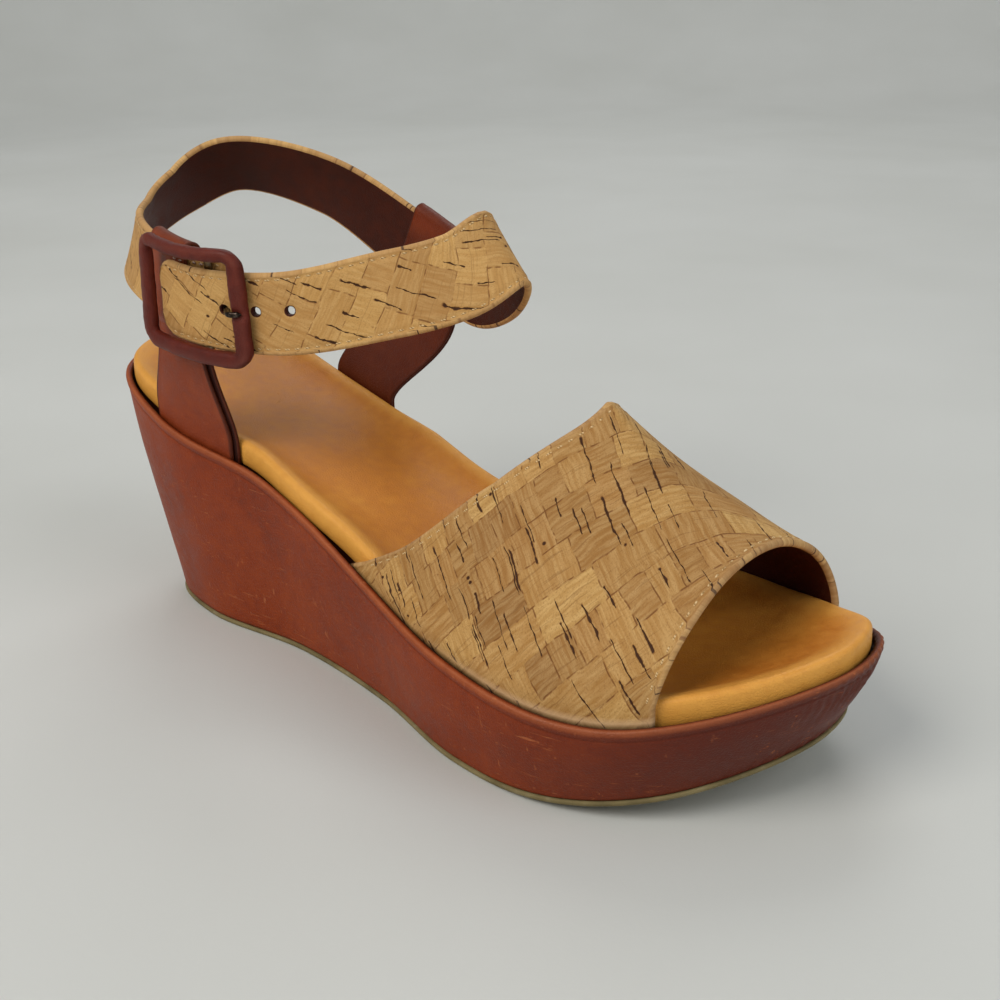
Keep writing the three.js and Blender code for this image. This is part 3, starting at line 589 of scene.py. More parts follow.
PATCH_HEIGHT = 7.6
PATCH_WIDTHS = (8.0, 24.0)
PATCH_TONES = ((0.0, "976833"), (0.25, "b58346"), (0.5, "a5763d"), (0.75, "c08f4e"), (1.0, "cb9e5b"))
# Fissures, a row a kind: distance between their lines, shortest, longest, seed, rarity and half width.
FISSURES = (
    (2.3, 7.0, 15.0, 3.0, 0.87, 0.22), (5.4, 8.0, 16.0, 8.0, 0.84, 0.4),
    (3.7, 5.0, 11.0, 11.0, 0.9, 0.42),
)


def fissures(s, u, v, kind):
    """Dark dashes along u that wander, swell and taper."""
    height, narrow, wide, seed, rare, half = kind
    own, dash_u, dash_v, long = patches(s, u, v, height, narrow, wide, seed)
    wobble = s.times(s.add(s.noise(s.vector(u, own[1]), 0.35, 2.0), -0.5), 1.1)
    away = s.math("ABSOLUTE", s.add(s.add(dash_v, -height / 2), wobble))
    thick = s.times(s.step(s.noise(s.vector(u, own[2]), 0.55, 2.0), 0.35, 0.7, 0.25, 1.6), half)
    line = s.math("SUBTRACT", 1.0, s.math("MINIMUM", s.math("DIVIDE", away, thick), 1.0))
    share = s.math("DIVIDE", dash_u, long)
    ends = s.times(s.step(share, 0.92, 0.84), s.step(share, 0.06, 0.14))
    return s.times(s.times(s.step(line, 0.0, 0.8), ends), s.math("GREATER_THAN", own[0], rare))


def cork(name, turn, lighter):
    """Cork sheet: patches of thin cork with their grain set crosswise, and dark fissures."""
    s = Surface(name, Specular_IOR_Level=0.2)
    inputs = {"Vector": s.layer("sheet"), "Angle": math.radians(turn)}
    turned = s.node("ShaderNodeVectorRotate", inputs, rotation_type="Z_AXIS").outputs[0]
    u, v, _ = s.split(turned)
    u = s.add(u, s.times(s.noise(turned, 0.13, 1.0), 1.6))
    v = s.add(v, s.times(s.noise(turned, 0.11, 1.0), 1.6))
    cell, inside_u, inside_v, width = patches(s, u, v, PATCH_HEIGHT, *PATCH_WIDTHS, 1.0)
    tone = s.ramp(cell[0], *PATCH_TONES)
    grain_along = s.noise(s.vector(s.times(u, 0.13), s.times(v, 1.25), cell[2]), 1.0, 4.0)
    grain_across = s.noise(s.vector(s.times(u, 1.25), s.times(v, 0.13), cell[2]), 1.0, 4.0)
    crosswise = s.math("GREATER_THAN", cell[1], 0.5)
    grain = s.add(grain_along, s.times(crosswise, s.math("SUBTRACT", grain_across, grain_along)))
    speckle = s.noise(turned, 2.2, 2.0)
    colour = s.mix(s.step(grain, 0.3, 0.72), s.mix(0.28, tone, "7f5426"), s.mix(0.26, tone, "e0c490"))
    colour = s.mix(s.times(s.step(speckle, 0.48, 0.72), 0.46), colour, "8b5f30")
    stripes = s.noise(s.vector(s.times(u, 0.07), s.times(v, 2.3), cell[2]), 1.0, 1.0)
    colour = s.mix(s.times(s.step(stripes, 0.6, 0.72), 0.38), colour, "7a4f25")
    middle_v = s.math("ABSOLUTE", s.add(inside_v, -PATCH_HEIGHT / 2))
    middle_u = s.math("ABSOLUTE", s.math("SUBTRACT", inside_u, s.times(width, 0.5)))
    seam_v = s.step(middle_v, PATCH_HEIGHT / 2 - 0.25, PATCH_HEIGHT / 2 - 0.02)
    seam_u = s.step(s.math("SUBTRACT", s.times(width, 0.5), middle_u), 0.3, 0.05)
    seam = s.times(s.math("MAXIMUM", seam_v, seam_u), s.step(s.noise(turned, 0.35, 1.0), 0.4, 0.62))
    colour = s.mix(s.times(seam, 0.62), colour, "6b421d")
    dark = s.times(seam, 0.4)
    for kind in FISSURES:
        dark = s.math("MAXIMUM", dark, fissures(s, v, u, kind))
    spots = s.cells(turned, 0.19)
    chosen = s.math("GREATER_THAN", s.split(spots["Color"])[0], 0.8)
    dark = s.math("MAXIMUM", dark, s.times(s.step(spots["Distance"], 0.16, 0.06), chosen))
    colour = s.mix(lighter, colour, "f2bd76")
    colour = s.mix(s.times(s.step(dark, 0.0, 0.45), 0.6), colour, "7d4a20")
    colour = s.mix(s.times(s.step(dark, 0.3, 0.85), 0.93), colour, "34190c")
    # The layer's first number makes the cork paler, partly as a pale edge and partly as a painted
    # highlight; its second darkens it towards 2a140a as painted shade.
    pale_edge_and_highlight, deep, _ = s.split(s.layer("wear"))
    colour = s.mix(deep, s.mix(s.times(pale_edge_and_highlight, 0.75), colour, "dcb78f"), "2a140a")
    height = s.add(s.add(s.times(grain, 0.5), s.times(dark, -1.4)), s.times(speckle, 0.35))
    return s.finish(colour, s.step(grain, 0.2, 0.8, 0.62, 0.78), s.bump(height, 0.16))


def leather(name, tones, grain, shine, scuffs=0.0, toe=None, scuff_and_highlight_tone="a05c40"):
    """Leather with broad tone changes, pores, light scuffs, paler edges that are partly a painted
    highlight, and painted shade.
    """
    s = Surface(name, Coat_Weight=shine, Coat_Roughness=0.3, Specular_IOR_Level=0.17)
    at = s.place()
    broad = s.noise(at, 0.03, 3.0)
    mottle = s.noise(at, 0.32, 4.0)
    colour = s.ramp(s.add(s.times(broad, 0.55), s.times(mottle, 0.45)), *tones)
    # A darker toe, towards the given tone: painted shade on the front, which faces away from the light.
    if toe:
        start, end, tone = toe
        share = s.step(s.split(at)[0], start, end)
        colour = s.mix(s.times(share, 0.8), colour, tone)
    rough = s.step(mottle, 0.3, 0.75, 0.4, 0.56)
    pore = s.step(s.pores(at, grain), 0.0, 0.16)
    fine = s.noise(at, grain * 2.2, 2.0)
    if scuffs:
        scratch = 0.0
        field = s.step(s.noise(at, 0.045, 2.0), 0.38, 0.62)
        for k, stretch in enumerate(((0.09, 0.09, 1.1), (0.5, 0.5, 0.16), (0.2, 0.3, 0.9))):
            streak = s.noise(s.stretch(at, *stretch), 1.0 + 0.3 * k, 2.0)
            scratch = s.math("MAXIMUM", scratch, s.step(streak, 0.66, 0.74))
        dots = s.cells(at, 0.24)
        chosen = s.math("GREATER_THAN", s.split(dots["Color"])[0], 0.6)
        dot = s.times(s.step(dots["Distance"], 0.11, 0.05), chosen)
        scratch = s.math("MAXIMUM", s.times(scratch, field), s.times(dot, 0.8))
        colour = s.mix(s.times(scratch, scuffs), colour, scuff_and_highlight_tone)
        rough = s.add(rough, s.times(scratch, 0.15))
    # The layer's first number makes the edges paler, partly from rubbing and partly as a painted
    # highlight; its second darkens towards 1c0a08 as painted shade.
    wear, painted_shade, _ = s.split(s.layer("wear"))
    edge = s.times(wear, s.step(mottle, 0.2, 0.6, 0.75, 1.0))
    colour = s.mix(edge, colour, scuff_and_highlight_tone)
    colour = s.mix(painted_shade, colour, "1c0a08")
    normal = s.bump(s.add(s.times(pore, 0.5), fine), 0.09)
    if scuffs:
        normal = s.bump(s.times(scratch, -1.0), 0.05, normal)
    return s.finish(colour, rough, normal)


def rubber(name):
    s = Surface(name, Specular_IOR_Level=0.35)
    at = s.place()
    tone = s.noise(at, 0.08, 4.0)
    colour = s.ramp(tone, (0.25, "5d5233"), (0.5, "786a45"), (0.75, "8c7e57"))
    x, y, z = s.split(at)
    ribs = s.math("SINE", s.times(s.add(x, s.times(s.math("PINGPONG", y, 4.0), 1.0)), 1.6))
    under = s.step(s.split(s.layer("wear"))[1], 0.4, 0.6)
    relief = s.add(s.times(s.times(ribs, under), 0.5), s.times(s.noise(at, 1.6, 3.0), 0.12))
    dust = s.times(s.step(s.noise(at, 0.25, 3.0), 0.5, 0.7), 0.25)
    return s.finish(s.mix(dust, colour, "a39a80"), 0.72, s.bump(relief, 0.5))


def metal(name, code):
    s = Surface(name, Metallic=1.0)
    at = s.place()
    brushed = s.noise(s.stretch(at, 0.8, 0.8, 6.0), 1.4, 3.0)
    colour = s.mix(s.step(s.noise(at, 0.7, 3.0), 0.45, 0.7), code, "5c5048")
    return s.finish(colour, s.step(brushed, 0.3, 0.7, 0.22, 0.42), s.bump(brushed, 0.015))


def thread(name, code, shade):
    s = Surface(name, Specular_IOR_Level=0.3)
    at = s.place()
    twist = s.math("SINE", s.times(s.add(s.split(at)[0], s.times(s.split(at)[2], 1.6)), 7.0))
    fibres = s.noise(at, 5.0, 2.0)
    share = s.add(s.times(twist, 0.3), s.times(fibres, 0.8))
    return s.finish(s.ramp(share, (0.1, shade), (0.7, code)), 0.75, s.bump(share, 0.06))


WEDGE_TONES = ((0.3, "702605"), (0.5, "85320c"), (0.7, "964018"))
FOOTBED_TONES = ((0.3, "c07226"), (0.5, "ce8230"), (0.7, "da933c"))
TAB_TONES = ((0.3, "762d11"), (0.5, "873819"), (0.7, "984725"))
LINING_TONES = ((0.3, "35140c"), (0.5, "441b10"), (0.7, "542415"))
BUCKLE_TONES = ((0.3, "48150d"), (0.5, "5c1e14"), (0.7, "702b1c"))

# The wedge's darker toe, towards 54231a, is painted shade.
wedge_leather = leather("wedge_leather", WEDGE_TONES, 1.0, 0.05, 0.62, (112, 190, "54231a"), "b5683f")
footbed_leather = leather("footbed_leather", FOOTBED_TONES, 1.3, 0.12, 0.0, None, "eaaa4e")
tab_leather = leather("tab_leather", TAB_TONES, 1.2, 0.05, 0.3, None, "a8603c")
lining_leather = leather("lining_leather", LINING_TONES, 1.4, 0.02, 0.0, None, "6d3b2d")
buckle_leather = leather("buckle_leather", BUCKLE_TONES, 1.6, 0.08, 0.15, None, "8a4a3c")
vamp_cork = cork("vamp_cork", -62.0, 0.0)
strap_cork = cork("strap_cork", 60.0, 0.2)
outsole_rubber = rubber("outsole_rubber")
prong_metal = metal("prong_metal", "2c2521")
bar_metal = metal("bar_metal", "6e5c42")
cork_thread = thread("cork_thread", "e3c493", "9a7440")
tab_thread = thread("tab_thread", "d9c0b0", "7d5344")


class Stack:
    """The rings of a lofted body, with each ring's paler edge and painted highlight, and its shade, which
    leather paints as painted shade.
    """

    def __init__(self):
        self.rings, self.wear, self.shade = [], [], []

    def add(self, ring, heights, wear=0.0, shade=0.0):
        self.rings.append(at_height(ring, heights))
        self.wear.append(np.broadcast_to(wear, ROUND))
        self.shade.append(np.broadcast_to(shade, ROUND))

    def make(self, name, material, slot, node):
        points, faces = loft(self.rings)
        layers = {"wear": triple(np.concatenate(self.wear), np.concatenate(self.shade))}
        return make(name, points, faces, [material], [node], layers)


# Outsole
def outsole():
    foot, side, top = TREAD_EDGE - OUTSOLE_LIP, -OUTSOLE_LIP, OUTSOLE_SHOWN
    rows = [(foot, 0.0, share) for share in (0.97, 0.6, 0.25, 0.0)]
    for angle in np.radians((20, 45, 70, 90)):
        out, up = math.sin(angle), 1 - math.cos(angle)
        rows.append((TREAD_EDGE * (1 - out) - OUTSOLE_LIP, TREAD_EDGE * up, 0.0))
    rows += [(side, top - 0.25, 0.0), (side + 0.25, top, 0.0)]
    rows += [(2.0, top, share) for share in (0.0, 0.5, 0.95)]
    stack = Stack()
    for depth, up, share in rows:
        ring = shrink(inset(tread, depth), share)
        stack.add(ring, tread_height(ring[:, 0]) + up, 0.0, 1.0 if up == 0 else 0.0)
    stack.make("outsole_tread", outsole_rubber, "outsole_rubber", "outsole")


# Leather covered wedge
SIDE_RINGS = 40
TOE_TIP = x_at(1.0)
FOOT_HEIGHT = OUTSOLE_SHOWN + 0.02
# Broad and small unevenness of the cover: stretch upright, scale, seed and depth.
DRAPES = ((0.35, 0.045, 2, 0.22), (0.6, 0.16, 5, 0.09))
# Gathers at the toe under the rim and at the foot: radians a millimetre along the rim, and depth.
GATHER_RATE, GATHER_DEPTH = 1.15, 0.75
FOOT_GATHER_RATE, FOOT_GATHER_DEPTH = 0.9, 0.3
# Depth in from the rim, drop below it, paling and shade of each ring of the bead: the paling is rubbing
# with a painted highlight along the crest, the shade is painted shade under the bead and inside the rim.
BEAD_RINGS = (
    (0.12, 2.9, 0.0, 0.25), (-0.2, 2.3, 0.0, 0.0), (-0.42, 1.7, 0.05, 0.0), (-0.5, 1.1, 0.3, 0.0),
    (-0.38, 0.6, 0.4, 0.0), (-0.1, 0.22, 0.6, 0.0), (0.25, 0.03, 0.35, 0.0), (0.7, 0.0, 0.05, 0.2),
    (1.15, 0.12, 0.0, 0.5), (1.4, 0.45, 0.0, 0.75), (1.42, 1.3, 0.0, 0.9),
    (1.42, SEAT_DEPTH - 0.1, 0.0, 0.95),
)


def wedge():
    swell = curve_through((0, 0.05, 0.35, 0.7, 1), (0, 0, 1, 1, 0))
    stack = Stack()
    # The rings under the wedge get painted shade.
    for share in (0.9, 0.45, 0.1):
        ring = shrink(inset(tread, WEDGE_FOOT), share)
        stack.add(ring, tread_height(ring[:, 0]) + FOOT_HEIGHT, 0.0, 0.5)
    for depth, up in ((WEDGE_FOOT, 0.0), (0.22, 0.08), (0.06, 0.3)):
        ring = inset(tread, depth)
        stack.add(ring, tread_height(ring[:, 0]) + FOOT_HEIGHT + up, 0.0, 0.5)
    outward = unit(inset(rim, -1.0) - rim)
    phase = np.cumsum(np.linalg.norm(np.roll(rim, -1, 0) - rim, axis=1))
    toe_share = smooth(rim[:, 0], TOE_TIP - 26, TOE_TIP - 3) * smooth(rim[:, 1], -24, 6)
    foot_share = smooth(rim[:, 0], TOE_TIP - 40, TOE_TIP - 8)
    bottom = tread_height(tread[:, 0]) + FOOT_HEIGHT
    for share in lerp(0.02, 1.0, np.arange(SIDE_RINGS + 1) / SIDE_RINGS):
        high = inset(rim, -SIDE_SWELL * swell(share))
        flat = lerp(tread, high, share)
        heights = lerp(bottom, rim_height(high[:, 0]) - 2 * RIM_BEAD_DROP, share)
        ring = at_height(flat, heights)
        drape = sum(ripple(ring * (1, 1, tall), scale, seed) * deep for tall, scale, seed, deep in DRAPES)
        gathers = np.abs(np.sin(phase * GATHER_RATE + 1.6 * ripple(ring, 0.2, 9)))
        near_rim = smooth(share, 0.35, 0.85) * (1 - 0.4 * smooth(share, 0.97, 1.0))
        depth = GATHER_DEPTH * toe_share * near_rim
        foot_gathers = np.abs(np.sin(phase * FOOT_GATHER_RATE + 1.3 * ripple(ring, 0.15, 4)))
        foot_depth = FOOT_GATHER_DEPTH * foot_share * (1 - smooth(share, 0.08, 0.4))
        move = drape * np.sin(math.pi * share) - gathers * depth - foot_gathers * foot_depth
        # Painted shade in the hollows of the gathers.
        shade = depth * smooth(gathers, 0.75, 1.0) * 0.5
        stack.add(flat + outward * move[:, None], heights, 0.0, shade)
    for depth, drop, wear, shade in BEAD_RINGS:
        pinch = 0.35 * toe_share * np.abs(np.sin(phase * GATHER_RATE)) * (drop > 0.2)
        ring = inset(rim, depth + pinch)
        stack.add(ring, rim_height(ring[:, 0]) - drop, wear, shade)
    # The rings down in the seat under the footbed get painted shade.
    for more, share in ((1.0, 0.0), (3.0, 0.0), (3.0, 0.5), (3.0, 0.95)):
        ring = shrink(footbed_edge(FOOTBED_FOOT + more), share)
        stack.add(ring, seat_height(ring[:, 0]) - 0.02, 0.0, 0.9)
    stack.make("wedge_cover", wedge_leather, "wedge_leather", "wedge")


# Footbed
def footbed():
    stack = Stack()
    dish = curve_through((0, 0.12, 0.35, 0.65, 1, 1.85), (0, 0.12, 0.55, 0.88, 1, 1.05))

    def top(ring):
        return rim_height(ring[:, 0]) + FOOTBED_RISE

    foot = footbed_edge(FOOTBED_FOOT)
    # The rings under the footbed and at its foot in the groove get painted shade.
    for share in (0.95, 0.5):
        ring = shrink(foot, share)
        stack.add(ring, seat_height(ring[:, 0]) + CLEARANCE, 0.0, 0.6)
    # The side and the rounded edge are painted paler: partly the edge's own rubbing, partly a painted
    # highlight on the side that faces the light.
    for more, up in ((FOOTBED_FOOT, 0.0), (0.3, 0.25), (0.05, 0.6), (0.0, 0.9)):
        ring = footbed_edge(more)
        stack.add(ring, seat_height(ring[:, 0]) + CLEARANCE + up, 0.5, 0.5 - 0.4 * up)
    for level in (2.2, 3.4):
        ring = footbed_edge(-0.08)
        stack.add(ring, seat_height(ring[:, 0]) + level, 0.8)
    for angle in np.radians((0, 15, 30, 45, 60, 75, 90)):
        ring = footbed_edge(FOOTBED_EDGE_RADIUS * (1 - math.cos(angle)))
        heights = top(ring) - FOOTBED_EDGE_RADIUS * (1 - math.sin(angle))
        stack.add(ring, heights, 0.85 - 0.15 * math.sin(angle))
    crest = footbed_edge(FOOTBED_EDGE_RADIUS)
    for share in np.concatenate([np.linspace(0.03, 0.3, 10), np.linspace(0.36, 1.8, 26)]):
        ring = shrink(crest, share * DISH_WIDTH / (BALL_WIDTH / 2))
        heights = top(ring) - dish(share) * FOOTBED_DISH
        pad = hump(ring[:, 0], x_at(0.6), 26) * hump(ring[:, 1], 2, 14) * 1.1
        sag = ripple(at_height(ring, heights), 0.05, 6) * 0.18
        # The paler crest fades inwards: partly rubbing, partly a painted highlight.
        pale_edge_and_highlight = 0.6 * float(1 - smooth(share, 0.03, 0.3))
        stack.add(ring, heights + smooth(share, 0.4, 1.2) * (pad + sag), pale_edge_and_highlight)
    pad = stack.make("footbed_pad", footbed_leather, "footbed_leather", "footbed")


# Toe strap
coarse_rim = outline(RIM_OUTLINE, SHOE_LENGTH, BALL_WIDTH, 4)
groove = inset(coarse_rim, SEAT_MIDDLE)
half_way = len(groove) // 2
inner_row = np.concatenate([groove[half_way:], groove[:1]])[::-1]
groove_side = {
    "lateral": curve_through(groove[: half_way + 1, 0], groove[: half_way + 1, 1]),
    "medial": curve_through(inner_row[:, 0], inner_row[:, 1]),
}
last_along, last_rises, last_swells, last_leans = zip(*LAST_SECTIONS)
last_rise = curve_through(last_along, last_rises)
last_swell = curve_through(last_along, last_swells)
last_lean = curve_through(last_along, last_leans)
edge_turns, edge_backs, edge_fronts = zip(*VAMP_EDGES)
vamp_back = curve_through(edge_turns, edge_backs)
vamp_front = curve_through(edge_turns, edge_fronts)


def last_point(x, turn):
    x, turn = np.broadcast_arrays(x, turn)
    lateral, medial = groove_side["lateral"](x), groove_side["medial"](x)
    swell = last_swell(along_at(x))
    cos, sin = np.cos(math.pi * turn), np.maximum(np.sin(math.pi * turn), 0)
    reach = np.sign(cos) * np.abs(cos) ** swell
    lean = last_lean(along_at(x)) * BALL_WIDTH * sin
    rise = last_rise(along_at(x)) * VAMP_RISE * sin**swell
    across = (lateral + medial) / 2 - reach * (medial - lateral) / 2 + lean
    return np.stack([x, across, seat_height(x) + SKIRT + rise], -1)


def stitch(a, b, up, length, thick):
    """A stitch between two points, half sunk and highest at its middle."""
    along = unit(b - a)
    up = unit(up - along * up.dot(along))
    angles = np.arange(6)[:, None] / 6 * 2 * math.pi
    ring = np.cross(along, up) * np.cos(angles) + up * (np.sin(angles) * 0.8)
    sections = []
    for row in (-1.0, -0.72, -0.3, 0.3, 0.72, 1.0):
        lift = up * (thick * 0.55 * (1 - row * row))
        middle = (a + b) / 2 + along * (row * length / 2) + lift
        sections.append(middle + ring * (thick * math.sqrt(max(1 - row * row, 0.02))))
    return sweep(sections)


def sew(name, rows, kind, material):
    """Stitches of a kind along rows, each a line of points and the normals there."""
    pitch, length, thick = kind
    points, faces = [], []
    for line, normals in rows:
        reach = reaches(line)
        count = int(reach[-1] / pitch)
        for middle in (np.arange(count) + 0.5) * reach[-1] / count:
            start, end = middle - length / 2, middle + length / 2
            a, b = between(start, reach, line), between(end, reach, line)
            more, sides = stitch(a, b, between(start, reach, normals), length, thick)
            faces += [[len(points) + k for k in side] for side in sides]
            points += list(more)
    make(name, points, faces, [material])


VAMP_STEPS = 42
# First step, fine step and width of the fine margin along the toe strap.
VAMP_GRADING = (1.4, 0.7, 4.85)
LOW_TURNS = (0.12, 0.25)
STITCH_IN = 2.3
STITCH_GROOVE = 0.24
# Pitch, length and half thickness of each kind of stitch.
VAMP_STITCH = (3.0, 2.04, 0.3)
BAND_STITCH = (2.7, 1.836, 0.285)
SEAM_STITCH = (3.2, 2.2, 0.26)
WINDOW_STITCH = (2.1, 1.4, 0.3)


def back_edge(turn, down):
    """The toe strap's back edge, which leaves the groove at a slant."""
    side = 0 if turn < 0.5 else 1
    outer = min(turn, 1 - turn)
    if outer > LOW_TURNS[-1]:
        return vamp_back(turn)
    swell, climb = LAST_SECTIONS[1][2], LAST_SECTIONS[1][1] * VAMP_RISE

    def height(share):
        return SKIRT - SEAT_DEPTH + climb * math.sin(math.pi * share) ** swell

    alongs = [vamp_back(abs(side - share)) for share in (0, *LOW_TURNS)]
    heights = [0, *(height(share) for share in LOW_TURNS)]
    start = alongs[0] - (alongs[1] - alongs[0]) * SEAT_DEPTH / heights[1]
    edge = curve_through((-SEAT_DEPTH, *heights), (start, *alongs))
    return edge(height(outer) - down * (SKIRT - CLEARANCE))


def vamp():
    rows = len(graded(1, *VAMP_GRADING, VAMP_STEPS))
    low = np.linspace(0, 0.12, 13)[:-1]
    turns = [*low, *np.linspace(0.12, 0.88, 71), *(1 - low[::-1])]
    skirts = (1.0, 0.75, 0.5, 0.25)
    columns = [(0.0, down) for down in skirts] + [(turn, 0.0) for turn in turns]
    columns += [(1.0, down) for down in skirts[::-1]]
    grid = np.zeros((rows, len(columns), 3))
    around = np.zeros((rows, len(columns)))
    for j, (turn, down) in enumerate(columns):
        back = back_edge(turn, down)
        length = (vamp_front(turn) - back) * SHOE_LENGTH
        x = x_at(lerp(back, vamp_front(turn), graded(length, *VAMP_GRADING, VAMP_STEPS) / length))
        girth = last_point(x[None, :], np.linspace(0.5, turn, 49)[:, None])
        lengths = np.linalg.norm(np.diff(girth, axis=0), axis=2).sum(0) + down * (SKIRT - CLEARANCE)
        around[:, j] = lengths if turn > 0.5 else -lengths
        grid[:, j] = last_point(x, turn)
        grid[:, j, 2] -= down * (SKIRT - CLEARANCE)
    if grid_normals(grid)[rows // 2, len(columns) // 2, 2] < 0:
        grid, around = grid[:, ::-1], around[:, ::-1]
    normals = grid_normals(grid)
    run, across = arc_lengths(grid, 0), arc_lengths(grid, 1)
    from_edge = np.minimum(run, run[-1:] - run)
    flesh = grid + normals * ripple(grid.reshape(-1, 3), 0.035, 8).reshape(run.shape)[..., None] * 0.5
    relief = -STITCH_GROOVE * hump(from_edge, STITCH_IN, 0.8) + 0.12 * smooth(from_edge, 4.5, 3.4)
    points, faces, kinds, source = thick_sheet(flesh, VAMP_WALL, relief)
    foot = np.minimum(across, across[:, -1:] - across)
    # A pale line along the strap's foot, partly its raw edge and partly a painted highlight on its curve,
    # and slightly paler edges; below it, where the strap goes down into the groove, painted shade.
    pale_edge_and_highlight = np.maximum(0.85 * hump(foot, SEAT_DEPTH + 0.6, 0.45), 0.2 * hump(from_edge, 0, 0.9))
    tucked = 0.8 * smooth(foot, SEAT_DEPTH + 0.2, SEAT_DEPTH - 0.7)
    layers = {
        "sheet": triple(grid[:1, :, 0] + run, around, from_edge)[source],
        "wear": triple(pale_edge_and_highlight, tucked)[source],
    }
    materials = [vamp_cork, lining_leather]
    make("toe_strap", points, faces, materials, ["vamp"], layers, kinds)
    skirt = len(skirts) + 1
    back, front = range(rows // 2), range(rows - 1, rows // 2, -1)
    for order, name in ((back, "toe_strap_back_stitches"), (front, "toe_strap_front_stitches")):
        line, ups = [], []
        for j in range(skirt, len(columns) - skirt):
            up = normals[order[2], j]
            spot = between(STITCH_IN, from_edge[order, j], flesh[order, j])
            line.append(spot + up * (VAMP_WALL / 2 - STITCH_GROOVE - 0.08))
            ups.append(up)
        sew(name, [(np.array(line), np.array(ups))], VAMP_STITCH, cork_thread)


# Ankle band
def band_frames():
    rows = np.array(ANKLE_STATIONS, float)
    middle = (ANKLE_FROM_BACK + x_at(0), ANKLE_OFFSET, STRAP_HEIGHT)
    halves = (ANKLE_LENGTH / 2, ANKLE_WIDTH / 2, STRAP_SWAY)
    line = rows[:, :3] * halves + middle
    leans = np.column_stack([np.arange(len(rows)), rows[:, 3]])
    count = 1440
    shares = np.arange(count + 1) / count
    places = closed_curve(line, shares)
    small = 1e-4
    tangents = unit(closed_curve(line, shares + small) - closed_curve(line, shares - small))
    outward = unit(np.column_stack([-tangents[:, 1], tangents[:, 0], np.zeros(count + 1)]))
    upright = np.cross(outward, tangents)
    upright *= np.sign(upright[:, 2:3])
    lean = np.radians(closed_curve(leans, shares)[:, 1:2])
    up = upright * np.cos(lean) - outward * np.sin(lean)
    out = outward * np.cos(lean) + upright * np.sin(lean)
    return places, up, out, reaches(places)


band_places, band_ups, band_outs, band_distances = band_frames()
GIRTH = band_distances[-1]


def band_point(distance, height, depth):
    """A point by its distance along the band, its height on it and its depth outwards."""
    distance, height, depth = np.broadcast_arrays(distance, height, depth)
    middle, up, out = (
        between(distance % GIRTH, band_distances, table) for table in (band_places, band_ups, band_outs)
    )
    return middle + unit(up) * height[..., None] + unit(out) * depth[..., None]


def distance_at(x, side):
    """The distance along the band to an x on one side of the ankle."""
    sign = -1 if side == "lateral" else 1
    there = sign * (band_places[:, 1] - ANKLE_OFFSET) > 0
    return band_distances[np.argmin(np.where(there, np.abs(band_places[:, 0] - x), np.inf))]


BUCKLE_AT = distance_at(x_at(BUCKLE_ALONG), "lateral")
TAB_OUTSIDE = STRAP_WALL / 2 + CLEARANCE + TAB_WALL
FREE_END_DEPTH = TAB_OUTSIDE + 2.3 * CLEARANCE + STRAP_WALL / 2
FRAME_DEPTH = FREE_END_DEPTH + STRAP_WALL / 2 + CLEARANCE + BUCKLE_THICKNESS / 2


BAND_STEPS = 250
# First step, fine step and width of the fine margin at the band's ends and along its sides.
BAND_GRADING = (1.4, 0.8, 4.0)
BAND_SIDE_GRADING = (1.3, 0.55, 4.4)
BAND_STITCH_IN = 1.84
# How far the strap's start lies in front of the buckle's middle, and its end behind it.
STRAP_START = 10.5
FREE_END_TIP = 13.3
FREE_END_CORNER = 5.5
FREE_END_DROP = 1.8
FREE_END_NARROWED = 0.03
HOLE_RISE = 0.9
PRONG_DROP = FREE_END_DROP - HOLE_RISE
# Half the room that a hole takes up, and the rings of its wall: radius and height, as a share of
# the strap's wall.
HOLE_ROOM = 1.75
HOLE_RINGS = (
    (HOLE_RADIUS + 0.3, 0.5), (HOLE_RADIUS, 0.38), (HOLE_RADIUS, -0.4), (HOLE_RADIUS + 0.15, -0.5),
)
# How far along the cork sheet the strap is cut, so that it doesn't repeat the toe strap's pattern.
SHEET_SHIFT = 300.0


def pierced(runs, heights, places, sheet, surface, wall):
    """A sheet with round holes: each takes the faces round it and joins their border to its wall."""
    points, faces, kinds, source = sheet
    columns = len(heights)
    half = len(runs) * columns
    removed, more_points, more_faces, more_kinds, more_places = set(), [], [], [], []
    start = len(points)
    for run_at, rise_at in places:
        top, bottom = np.searchsorted(runs, (run_at - HOLE_ROOM, run_at + HOLE_ROOM)) - (1, 0)
        near = np.flatnonzero(np.abs(heights - rise_at) < HOLE_ROOM)
        left, right = near[0] - 1, near[-1] + 1
        for i in range(top, bottom):
            removed.update(range(2 * (i * (columns - 1) + left), 2 * (i * (columns - 1) + right)))
        border = [(i, left) for i in range(top, bottom)] + [(bottom, j) for j in range(left, right)]
        border += [(i, right) for i in range(bottom, top, -1)]
        border += [(top, j) for j in range(right, left, -1)]
        down, over = np.array(border).T
        loop = down * columns + over
        angles = np.arctan2(heights[over] - rise_at, runs[down] - run_at)
        strips = [loop]
        for radius, level in HOLE_RINGS:
            run, rise = run_at + radius * np.cos(angles), rise_at + radius * np.sin(angles)
            more_points.append(surface(run, rise, level * wall))
            more_places.append(np.column_stack([run, rise]))
            strips.append(np.arange(start, start + len(loop)))
            start += len(loop)
        strips.append(half + loop)
        for depth, (upper, lower) in enumerate(zip(strips, strips[1:])):
            more_faces += joined(upper, lower)
            more_kinds += [min(depth, 1)] * len(loop)
    faces = [face for k, face in enumerate(faces) if k not in removed]
    kinds = [kind for k, kind in enumerate(kinds) if k not in removed]
    points = np.concatenate([points, *more_points])
    return points, faces + more_faces, kinds + more_kinds, source, np.concatenate(more_places)


